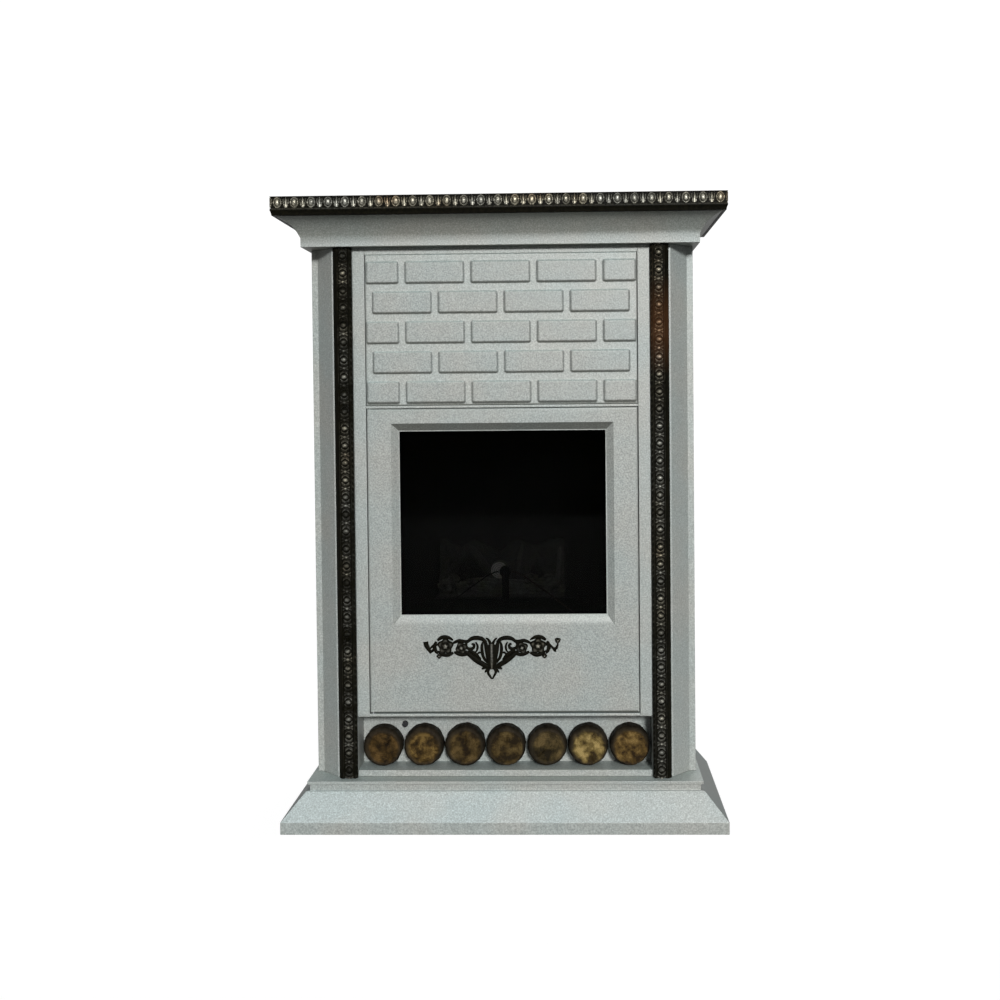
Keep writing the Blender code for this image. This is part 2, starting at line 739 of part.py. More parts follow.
def mantel():
    """Cove and fascia in three mitred lengths, the shelf pan and the egg-and-dart edge."""
    half = FASCIA_HALF
    front = FASCIA_FRONT
    run = FLARE - TRIM_THICKNESS
    path = [(-SOFFIT_FLANGE, BODY_TOP), (0.0, BODY_TOP), (0.0, FASCIA_TOP)]
    for step in range(1, COVE_STEPS + 1):
        share = step / COVE_STEPS
        sag = COVE_BULGE * math.sin(math.pi * share)
        path.append((run * share - sag, FASCIA_TOP + (COVE_HEIGHT - CLEAR) * share + sag))
    path.append((run - COVE_FLANGE, COVE_TOP - CLEAR))
    outline = folded(path)
    for side in ("front", "left", "right"):
        mitred_run("mantel_cove_" + side, outline, PAINT, (side, half, front, MANTEL_REAR - SHEET - CLEAR))
    inner_half = MANTEL_HALF - TRIM_THICKNESS - CLEAR
    inner_front = MANTEL_FRONT + TRIM_THICKNESS + CLEAR
    bm = bmesh.new()
    corners = ((-1, inner_front), (1, inner_front), (1, MANTEL_REAR), (-1, MANTEL_REAR))
    rings = banded(bm, [[(sign * inner_half, y, z) for sign, y in corners] for z in (COVE_TOP, TOP)])
    bm.faces.new(rings[1])
    tail = [bm.verts.new((sign * half, MANTEL_REAR, BODY_TOP + CLEAR)) for sign in (-1, 1)]
    bm.faces.new((rings[0][2], rings[0][3], *tail))
    shell("mantel_shelf", bm, (0, 2 * MANTEL_FRONT, COVE_TOP), PAINT)

    floor = TRIM_THICKNESS - TRIM_SUNK
    low = TRIM_FOOT + TRIM_FILLET
    high = SHELF_HEIGHT - TRIM_FILLET
    section = [
        (0.0, 0.0),
        (0.0, TRIM_FOOT_SPLAY),
        (TRIM_FOOT - TRIM_STEP, TRIM_THICKNESS - TRIM_QUIRK),
        (TRIM_FOOT - TRIM_STEP, TRIM_THICKNESS),
        (low, TRIM_THICKNESS),
        (low + TRIM_SLOPE, floor),
        (high - TRIM_SLOPE, floor),
        (high, TRIM_THICKNESS),
        (SHELF_HEIGHT, TRIM_THICKNESS),
        (SHELF_HEIGHT, 0.0),
    ]
    egg = (*EGG_RADII, TRIM_SUNK)
    dart = (*DART_RADII, DART_LIFT)
    back = MANTEL_FRONT + TRIM_THICKNESS
    side_back = MANTEL_HALF - TRIM_THICKNESS
    moulding(
        "mantel_trim_front",
        section,
        5,
        2 * MANTEL_HALF,
        EGG_PITCH,
        egg,
        dart,
        lambda s, h, d: (s - MANTEL_HALF, back - d, COVE_TOP + h),
        (1, 1),
        BRONZE,
    )
    length = MANTEL_REAR - MANTEL_FRONT - CLEAR * 2
    for sign, side in ((-1, "left"), (1, "right")):
        moulding(
            "mantel_trim_" + side,
            section,
            5,
            length,
            EGG_PITCH,
            egg,
            dart,
            lambda s, h, d: (sign * (side_back + d), MANTEL_FRONT + CLEAR * 2 + s, COVE_TOP + h),
            (1, 0),
            BRONZE,
        )


def column_trims():
    """Upright egg-and-dart mouldings on the columns' front faces."""
    width, thick = COLUMN_TRIM_WIDTH, COLUMN_TRIM_THICKNESS
    floor = thick - COLUMN_TRIM_SUNK
    edges = [COLUMN_TRIM_SPLAY, TRIM_SLOPE, COLUMN_TRIM_FILLET, TRIM_SLOPE]
    stops = [sum(edges[: index + 1]) for index in range(4)]
    rise = [(0.0, 0.0), (0.0, COLUMN_TRIM_EDGE), *zip(stops, (floor, thick, thick, floor))]
    section = rise + [(width - h, d) for h, d in rise[::-1]]
    egg = (*COLUMN_EGG_RADII, COLUMN_TRIM_SUNK)
    dart = (*COLUMN_BEAD_RADII, COLUMN_BEAD_LIFT)
    low = HEARTH_TOP + CLEAR
    for sign, side in ((-1, "left"), (1, "right")):
        moulding(
            "column_trim_" + side,
            section,
            5,
            BODY_TOP - CLEAR - low,
            COLUMN_EGG_PITCH,
            egg,
            dart,
            lambda s, h, d: (sign * (COLUMN_TRIM_X + h - width / 2), FACE - CLEAR - d, low + s),
            (0, 0),
            BRONZE,
        )


def brick_panel():
    """Sheet with five courses of pressed bricks, and its edges folded back."""
    bm = bmesh.new()
    limit = PANEL_HALF - BRICK_END_MARGIN
    bricks = []
    chains = []
    for course in range(COURSES):
        top = BRICK_TOP - BRICK_TOP_MARGIN - course * COURSE_PITCH
        shift = 0.0 if course % 2 == 0 else BRICK_PITCH / 2
        reach = math.ceil(limit / BRICK_PITCH)
        spans = []
        for index in range(-reach - 1, reach + 1):
            middle = index * BRICK_PITCH + shift
            left, right = max(middle - BRICK_LENGTH / 2, -limit), min(middle + BRICK_LENGTH / 2, limit)
            if right - left > BRICK_LENGTH / 4:
                spans.append((left, right))
        stops = [-PANEL_HALF] + [x for pair in spans for x in pair] + [PANEL_HALF]
        rows = [[bm.verts.new((x, PANEL_FACE, z)) for x in stops] for z in (top, top - BRICK_HEIGHT)]
        for index in range(len(stops) - 1):
            quad = bm.faces.new((rows[1][index], rows[1][index + 1], rows[0][index + 1], rows[0][index]))
            if index % 2 == 1:
                bricks.append(quad)
        chains.append(rows)
    edge_top = [bm.verts.new((x, PANEL_FACE, BRICK_TOP)) for x in (-PANEL_HALF, PANEL_HALF)]
    edge_bottom = [bm.verts.new((x, PANEL_FACE, BRICK_BOTTOM)) for x in (-PANEL_HALF, PANEL_HALF)]
    borders = [edge_top] + [row for rows in chains for row in rows] + [edge_bottom]
    for upper, lower in zip(borders[::2], borders[1::2]):
        zipper(bm, lower, upper)
    face_towards(bm, (0, MANTEL_FRONT, BRICK_TOP))
    rim = [edge for edge in bm.edges if edge.is_boundary]
    for inset, raised in ((BRICK_BEVEL * 0.55, BRICK_RAISE * 0.8), (BRICK_BEVEL * 0.45, BRICK_RAISE * 0.2)):
        bmesh.ops.inset_individual(bm, faces=bricks, thickness=inset, depth=raised, use_even_offset=True)
    fold = bmesh.ops.extrude_edge_only(bm, edges=rim)["geom"]
    moved = [item for item in fold if isinstance(item, bmesh.types.BMVert)]
    bmesh.ops.translate(bm, verts=moved, vec=(0, BRICK_PANEL_FOLD, 0))
    shell("brick_panel", bm, (0, MANTEL_FRONT, BRICK_TOP), PAINT)


def door():
    """Window panel that swings on two pins, with its glass, gasket, retainers and applique."""
    pivot = bpy.data.objects.new("door_pivot", None)
    pivot.location = (HINGE_X, HINGE_Y, DOOR_BOTTOM)
    bpy.context.collection.objects.link(pivot)
    low, high = WINDOW_LOW, WINDOW_HIGH
    bevel = DOOR_RADIUS * (1 - math.sqrt(0.5))
    bm = bmesh.new()
    loops = []
    for inset, depth in ((0.0, DOOR_FLANGE), (0.0, DOOR_RADIUS), (bevel, bevel), (DOOR_RADIUS, 0.0)):
        loops.append(rectangle(PANEL_HALF - inset, DOOR_BOTTOM + inset, DOOR_TOP - inset, PANEL_FACE + depth))
    loops.append(rectangle(WINDOW_HALF + RIM_WIDTH, low - RIM_BOTTOM, high + RIM_WIDTH, PANEL_FACE))
    loops.append(rectangle(WINDOW_HALF + RIM_LIP, low - RIM_LIP, high + RIM_LIP, PANEL_FACE + RIM_DEPTH))
    loops.append(rectangle(WINDOW_HALF, low, high, PANEL_FACE + RIM_DEPTH))
    banded(bm, loops)
    panel = shell("window_panel", bm, (0, 0, 0), PAINT)
    for level in (DOOR_BOTTOM, DOOR_TOP):
        drill(panel, (HINGE_X, HINGE_Y, level), (0, 0, 1), PIN_RADIUS + RUNNING, SHEET * 3, segments=12)

    back = PANEL_FACE + RIM_DEPTH + SHEET + CLEAR
    bm = bmesh.new()
    frames = []
    for grow, y in (
        (RIM_LIP, back),
        (RIM_LIP + GASKET_WIDTH, back),
        (RIM_LIP + GASKET_WIDTH, back + GASKET_THICKNESS),
        (RIM_LIP, back + GASKET_THICKNESS),
    ):
        frames.append(rectangle(WINDOW_HALF + grow, low - grow, high + grow, y))
    banded(bm, frames + frames[:1])
    bmesh.ops.remove_doubles(bm, verts=bm.verts, dist=1e-6)
    gasket = publish("glass_gasket", bm, SEAL)

    half = WINDOW_HALF + GLASS_OVERLAP
    base, crown = low - GLASS_OVERLAP, high + GLASS_OVERLAP
    glass_rear = GLASS_FRONT + GLASS_THICKNESS
    glass = block("window_glass", (-half, GLASS_FRONT, base), (half, glass_rear, crown), GLASS)

    plate = glass_rear + CLEAR
    sheet_back = PANEL_FACE + SHEET + CLEAR
    upper = [
        (plate, crown - RETAINER_GRIP),
        (plate, crown + RETAINER_REACH - RETAINER_GRIP),
        (sheet_back, crown + RETAINER_REACH - RETAINER_GRIP),
    ]
    lower = [
        (plate, base + RETAINER_GRIP),
        (plate, base - RETAINER_REACH),
        (sheet_back, base - RETAINER_REACH),
    ]
    retainers = []
    for name, path, side in (("upper", upper, -SHEET), ("lower", lower, SHEET)):
        retainers.append(
            extruded(
                "glass_retainer_" + name,
                folded(path, side),
                lambda y, z: (-half, y, z),
                lambda y, z: (half, y, z),
                STEEL,
            )
        )
    ornament = applique()
    for piece in (panel, gasket, glass, ornament, *retainers):
        piece.parent = pivot
        piece.matrix_parent_inverse = Matrix.Translation(-Vector(pivot.location))

    upper_end = MID_RAIL_BOTTOM + RAIL_THICKNESS - CLEAR
    pin = [(PIN_RADIUS, 0.0), (PIN_RADIUS, upper_end - DOOR_TOP + PIN_REACH)]
    foot = (HINGE_X, HINGE_Y, DOOR_TOP - PIN_REACH)
    turned("hinge_pin_upper", pin, foot, (0, 0, 1), STEEL, segments=12)
    start = RAIL_BOTTOM + CLEAR
    seat = RAIL_BOTTOM + RAIL_THICKNESS + CLEAR - start
    collar = DOOR_BOTTOM - CLEAR - start
    pin = [
        (PIN_RADIUS, 0.0),
        (PIN_RADIUS, seat),
        (COLLAR_RADIUS, seat),
        (COLLAR_RADIUS, collar),
        (PIN_RADIUS, collar),
        (PIN_RADIUS, collar + PIN_REACH),
    ]
    turned("hinge_pin_lower", pin, (HINGE_X, HINGE_Y, start), (0, 0, 1), STEEL, segments=12)
    right = STILE_INNER - CLEAR
    near = PANEL_FACE + DOOR_FLANGE + CLEAR
    level = DOOR_BOTTOM + CATCH_RISE
    block(
        "magnetic_catch",
        (right - CATCH_WIDTH, near, level),
        (right, near + CATCH_DEPTH, level + CATCH_HEIGHT),
        PLASTIC,
    )


def ellipsoid(name, centre, radii, tilt=0.0, sides=8, rings=3):
    """Low dome of the casting, its flat back on the panel."""
    bm = bmesh.new()
    previous = None
    turn = Matrix.Rotation(tilt, 3, "Y")
    for ring in range(rings):
        angle = 0.5 * math.pi * ring / rings
        current = []
        for step in range(sides):
            around = 2 * math.pi * step / sides
            flat = Vector((math.cos(around) * radii[0], 0, math.sin(around) * radii[1])) * math.cos(angle)
            lift = Vector((0, -radii[2] * math.sin(angle), 0))
            current.append(bm.verts.new(Vector(centre) + turn @ flat + lift))
        if previous is None:
            bm.faces.new(current)
        else:
            for step in range(sides):
                following = (step + 1) % sides
                bm.faces.new((previous[step], previous[following], current[following], current[step]))
        previous = current
    crown = bm.verts.new(Vector(centre) + Vector((0, -radii[2], 0)))
    for step in range(sides):
        bm.faces.new((previous[step], previous[(step + 1) % sides], crown))
    return publish(name, bm, BRONZE, smooth=50)


def ribbon(points, widths, relief, base):
    """Scroll of the casting: a ridged band that follows a smooth route on the panel."""
    route = smooth_route([(x, base, z) for x, z in points])
    bm = bmesh.new()
    rings = []
    for index, point in enumerate(route):
        before = route[max(index - 1, 0)]
        after = route[min(index + 1, len(route) - 1)]
        along = (after - before).normalized()
        side = Vector((-along.z, 0, along.x))
        share = index / (len(route) - 1)
        place = share * (len(widths) - 1)
        low = min(int(place), len(widths) - 2)
        width = widths[low] + (widths[low + 1] - widths[low]) * (place - low)
        rise = Vector((0, -relief * (0.55 + 0.45 * math.sin(math.pi * share)), 0))
        rings.append(
            [
                bm.verts.new(point - side * width),
                bm.verts.new(point - side * width * 0.8 + rise * 0.6),
                bm.verts.new(point + rise),
                bm.verts.new(point + side * width * 0.8 + rise * 0.6),
                bm.verts.new(point + side * width),
            ]
        )
    for one, other in zip(rings, rings[1:]):
        for index in range(5):
            following = (index + 1) % 5
            bm.faces.new((one[index], one[following], other[following], other[index]))
    bm.faces.new(rings[0])
    bm.faces.new(rings[-1][::-1])
    return publish("scroll_applique", bm, BRONZE, smooth=50)


def applique():
    """Cast acanthus and scroll ornament, the same on both sides of its middle column. Its drawing is in
    design units, measured out from the middle column and up from the casting's middle."""
    base = PANEL_FACE - CLEAR
    unit = ORNAMENT_WIDTH / ORNAMENT_UNITS

    def at(sign, across, up):
        return ORNAMENT_OFFSET + sign * across * unit, ORNAMENT_Z + up * unit

    stem = [at(1, 0, up) for up in (27, 10, -12, -37)]
    body = ribbon(stem, [width * unit for width in (9.5, 8.5, 5.0, 4.5, 1.5)], ORNAMENT_RELIEF, base)
    parts = []
    scrolls = (
        ([(4, 12), (16, 28), (30, 31), (40, 24), (37, 15), (30, 17)], 3.0),
        ([(2, -22), (16, -11), (34, 4), (47, 10), (60, 14)], 3.8),
        ([(34, 28), (50, 27), (64, 22), (80, 20), (98, 16), (112, 22)], 4.2),
        ([(3, -8), (17, 2), (22, 14), (18, 26)], 2.4),
        ([(86, 18), (92, 11), (91, 4)], 3.0),
    )
    domes = (
        ((76, 20.5), (12.5, 12.0, 1.0), 0.0),
        ((53, 16.5), (8.5, 7.5, 0.86), 0.0),
        ((91, 4.5), (4.0, 5.5, 0.72), 0.0),
        ((113, 24.5), (6.2, 8.5, 0.86), 0.4),
        ((13, -16.5), (4.2, 8.0, 0.72), 0.6),
        ((37, 16.0), (5.2, 5.2, 0.79), 0.0),
    )
    for sign in (-1, 1):
        for points, width in scrolls:
            places = [at(sign, across, up) for across, up in points]
            widths = [share * width * unit for share in (0.7, 1.0, 1.0, 0.6)]
            parts.append(ribbon(places, widths, ORNAMENT_RELIEF * 0.75, base))
        for place, (half, rise, lift), tilt in domes:
            x, z = at(sign, *place)
            radii = (half * unit, rise * unit, lift * ORNAMENT_RELIEF)
            parts.append(ellipsoid("dome", (x, base, z), radii, tilt=sign * tilt))
    for part in parts:
        part.name = "applique_part"
        combine(body, part, "UNION")
    return body


def niche():
    """Folded tray between the columns' cheeks, and the seven log ends that stand in it."""
    profile = [
        (NICHE_FRONT, NICHE_TOP - SHEET),
        (NICHE_BACK, NICHE_TOP - SHEET),
        (NICHE_BACK, NICHE_FLOOR),
        (NICHE_FRONT, NICHE_FLOOR),
        (NICHE_FRONT, HEARTH_TOP + CLEAR),
    ]
    tray = extruded(
        "log_tray",
        folded(profile),
        lambda y, z: (-TRAY_HALF, y, z),
        lambda y, z: (TRAY_HALF, y, z),
        PAINT,
    )
    hole = (IGNITER_X, NICHE_BACK, IGNITER_Z)
    drill(tray, hole, (0, 1, 0), BUTTON_RADIUS + RUNNING, SHEET * 6, segments=16)
    for index in range(LOG_COUNT):
        log(index + 1, (index - (LOG_COUNT - 1) / 2) * LOG_PITCH)


def log(number, x):
    """One sawn log end: uneven bark, a bark rim at the saw cut and a slightly sunk wood face."""
    radius = LOG_RADIUS
    rear = NICHE_BACK - CLEAR
    front = rear - LOG_LENGTH

    def ring(bm, share, y, rough):
        points = []
        for step in range(LOG_SIDES):
            angle = 2 * math.pi * step / LOG_SIDES
            wave = math.sin(2 * angle + number * 1.7) + 0.6 * math.sin(5 * angle + number * 2.9)
            reach = radius * share * (1 + rough * wave)
            points.append((x + reach * math.cos(angle), y, reach * math.sin(angle)))
        return points

    bm = bmesh.new()
    loops = [
        ring(bm, 0.98, rear, 0.008),
        ring(bm, 1.0, rear - LOG_LENGTH / 2, 0.010),
        ring(bm, 1.0, front + LOG_SAW_ROUND, 0.010),
        ring(bm, 0.95, front, 0.008),
        ring(bm, 0.88, front + 0.0004, 0.006),
        ring(bm, 0.85, front + LOG_SAW_ROUND, 0.006),
    ]
    rings = banded(bm, loops)
    bm.faces.new(rings[0])
    heart = bm.verts.new((x, front + 0.0008, 0.0))
    for step in range(LOG_SIDES):
        bm.faces.new((rings[-1][step], rings[-1][(step + 1) % LOG_SIDES], heart))
    lowest = min(vert.co.z for vert in bm.verts)
    bmesh.ops.translate(bm, verts=bm.verts, vec=(0, 0, NICHE_FLOOR + CLEAR - lowest))
    publish(f"log_{number}", bm, BARK, smooth=35)


def igniter():
    """Push button in the niche's back, and the piezo body behind it."""
    level = IGNITER_Z
    face = NICHE_BACK - BUTTON_PROUD
    button = [
        (0.0, 0.0),
        (BUTTON_RADIUS * 0.8, 0.0),
        (BUTTON_RADIUS, 0.001),
        (BUTTON_RADIUS, BUTTON_PROUD + BUTTON_STEM),
        (0.0, BUTTON_PROUD + BUTTON_STEM),
    ]
    place = (IGNITER_X, face, level)
    turned("igniter_button", button, place, (0, 1, 0), PLASTIC, segments=16, origin=place)
    start = NICHE_BACK + SHEET + CLEAR
    bore = BUTTON_RADIUS + RUNNING
    depth = BUTTON_STEM + BUTTON_STROKE - SHEET + RUNNING
    piezo = [(bore, 0.0), (bore, depth), (0.0, depth)]
    piezo = [(0.0, PIEZO_LENGTH), (PIEZO_RADIUS * 0.6, PIEZO_LENGTH), (PIEZO_RADIUS, PIEZO_LENGTH * 0.8)] + [
        (PIEZO_RADIUS, 0.0)
    ] + piezo
    turned("piezo_igniter", piezo, (IGNITER_X, start, level), (0, 1, 0), PLASTIC, segments=16)


def firebox():
    """Shelf across the cabinet, and the fire chamber on it."""
    half = SIDE_INNER - CLEAR
    skirt = SHELF_TOP - SHELF_SKIRT
    path = [(-half, skirt), (-half, SHELF_TOP), (half, SHELF_TOP), (half, skirt)]
    rear = COVER_FRONT - SHEET - CLEAR * 2
    shelf = extruded(
        "firebox_shelf",
        folded(path, -SHEET),
        lambda x, z: (x, CORNER_FRONT + SHEET + CLEAR, z),
        lambda x, z: (x, rear, z),
        STEEL,
    )
    middle = (BURNER_FRONT + BURNER_REAR) / 2
    for sign in (-1, 1):
        hole = (sign * SERVICE_HOLE_X, middle, SHELF_Z)
        drill(shelf, hole, (0, 0, 1), SERVICE_HOLE_RADIUS, SHEET * 6, segments=16)
    flange = FIREBOX_HALF + FIREBOX_FLANGE
    path = [
        (flange, FIREBOX_FRONT),
        (FIREBOX_HALF, FIREBOX_FRONT),
        (FIREBOX_HALF, FIREBOX_REAR),
        (-FIREBOX_HALF, FIREBOX_REAR),
        (-FIREBOX_HALF, FIREBOX_FRONT),
        (-flange, FIREBOX_FRONT),
    ]
    extruded(
        "firebox_shell",
        folded(path, -SHEET),
        lambda x, y: (x, y, FIREBOX_BOTTOM),
        lambda x, y: (x, y, FIREBOX_TOP - CLEAR),
        BLACK,
    )
    low = (-FIREBOX_HALF - SHEET, FIREBOX_FRONT, FIREBOX_TOP)
    high = (FIREBOX_HALF + SHEET, FIREBOX_REAR + SHEET, FIREBOX_TOP + SHEET)
    roof = block("firebox_roof", low, high, BLACK)
    slot = block(
        "roof_slot",
        (ROOF_SLOT_MARGIN - HOOD_HALF, FIREBOX_REAR - HOOD_DEPTH + ROOF_SLOT_MARGIN, FIREBOX_TOP - SHEET),
        (HOOD_HALF - ROOF_SLOT_MARGIN, FIREBOX_REAR - ROOF_SLOT_MARGIN, FIREBOX_TOP + SHEET * 3),
        BLACK,
    )
    combine(roof, slot, "DIFFERENCE")


def burner():
    """Burner box, the ceramic bed that glows on it and the pilot in front."""
    top = BURNER_TOP
    bm = bmesh.new()
    sides = (-BURNER_HALF, BURNER_HALF)
    corners = list(zip((*sides, *sides[::-1]), (BURNER_FRONT,) * 2 + (BURNER_REAR,) * 2))
    rings = banded(bm, [[(x, y, z) for x, y in corners] for z in (FIREBOX_BOTTOM, top)])
    bm.faces.new(rings[1])
    shell("burner_box", bm, (0, MANTEL_FRONT, FIREBOX_BOTTOM), BLACK)
    columns, rows = 18, 4
    front, rear = BURNER_FRONT + BED_EDGE, BURNER_REAR - BED_EDGE
    bm = bmesh.new()
    grid = []
    for row in range(rows + 1):
        back = row / rows
        line = []
        for column in range(columns + 1):
            share = column / columns
            peaks = abs(math.sin(math.pi * share * 4.5 + row * 0.9)) * 0.40
            rise = BED_HEIGHT * (0.30 + 0.30 * back + peaks) * (0.55 + 0.45 * math.sin(math.pi * share))
            spot = ((2 * share - 1) * BED_HALF, front + (rear - front) * back, top + CLEAR + rise)
            line.append(bm.verts.new(spot))
        grid.append(line)
    for row in range(rows):
        for column in range(columns):
            bm.faces.new(
                (grid[row][column], grid[row][column + 1], grid[row + 1][column + 1], grid[row + 1][column])
            )
    rim = [edge for edge in bm.edges if edge.is_boundary]
    skirt = bmesh.ops.extrude_edge_only(bm, edges=rim)["geom"]
    for item in skirt:
        if isinstance(item, bmesh.types.BMVert):
            item.co.z = top + CLEAR
    bmesh.ops.holes_fill(bm, edges=[edge for edge in bm.edges if edge.is_boundary])
    publish("ceramic_fire_bed", bm, CERAMIC)

    post = block(
        "pilot_burner",
        (-PILOT_WIDTH / 2, BURNER_FRONT - CLEAR - SHEET, BURNER_TOP - PILOT_DROP),
        (PILOT_WIDTH / 2, BURNER_FRONT - CLEAR, PILOT_Z),
        BRASS,
    )
    rim = [(PILOT_RADIUS, 0.004), (PILOT_RADIUS, 0.010)]
    head = [(0.0, 0.0), (PILOT_RADIUS * 0.5, 0.001), *rim, (0.0, 0.010)]
    front = (0.0, BURNER_FRONT - CLEAR - 0.0105, PILOT_Z)
    combine(post, turned("pilot_head", head, front, (0, 1, 0), BRASS, segments=16), "UNION")


def flue():
    """Hood over the fire chamber's outlet, and the collar that leads out through the rear cover."""
    base = HOOD_BASE
    rear = FIREBOX_REAR
    front = rear - HOOD_DEPTH
    crown = base + HOOD_HEIGHT
    bm = bmesh.new()
    corners = ((-1, front), (1, front), (1, rear), (-1, rear))
    feet = [[(sign * HOOD_HALF, y, z) for sign, y in corners] for z in (base, base + HOOD_SKIRT)]
    top_half = HOOD_HALF - HOOD_TAPER
    corners = ((-1, front + HOOD_LEAN), (1, front + HOOD_LEAN), (1, rear), (-1, rear))
    lid = [(sign * top_half, y, crown) for sign, y in corners]
    rings = banded(bm, [*feet, lid])
    bm.faces.new(rings[2])
    hood = shell("flue_hood", bm, (0, MANTEL_FRONT, base), STEEL)
    drill(hood, (0, rear, FLUE_Z), (0, 1, 0), FLUE_RADIUS - FLUE_WALL, SHEET * 6)
    start = rear + CLEAR
    length = FLUE_END - start
    section = [
        (FLUE_RADIUS - FLUE_WALL, 0.0),
        (FLUE_RADIUS + FLUE_FLANGE, 0.0),
        (FLUE_RADIUS + FLUE_FLANGE, FLUE_WALL),
        (FLUE_RADIUS, FLUE_WALL),
        (FLUE_RADIUS, length),
        (FLUE_RADIUS - FLUE_WALL, length),
    ]
    turned("flue_collar", section, (0, start, FLUE_Z), (0, 1, 0), STEEL, closed=True)


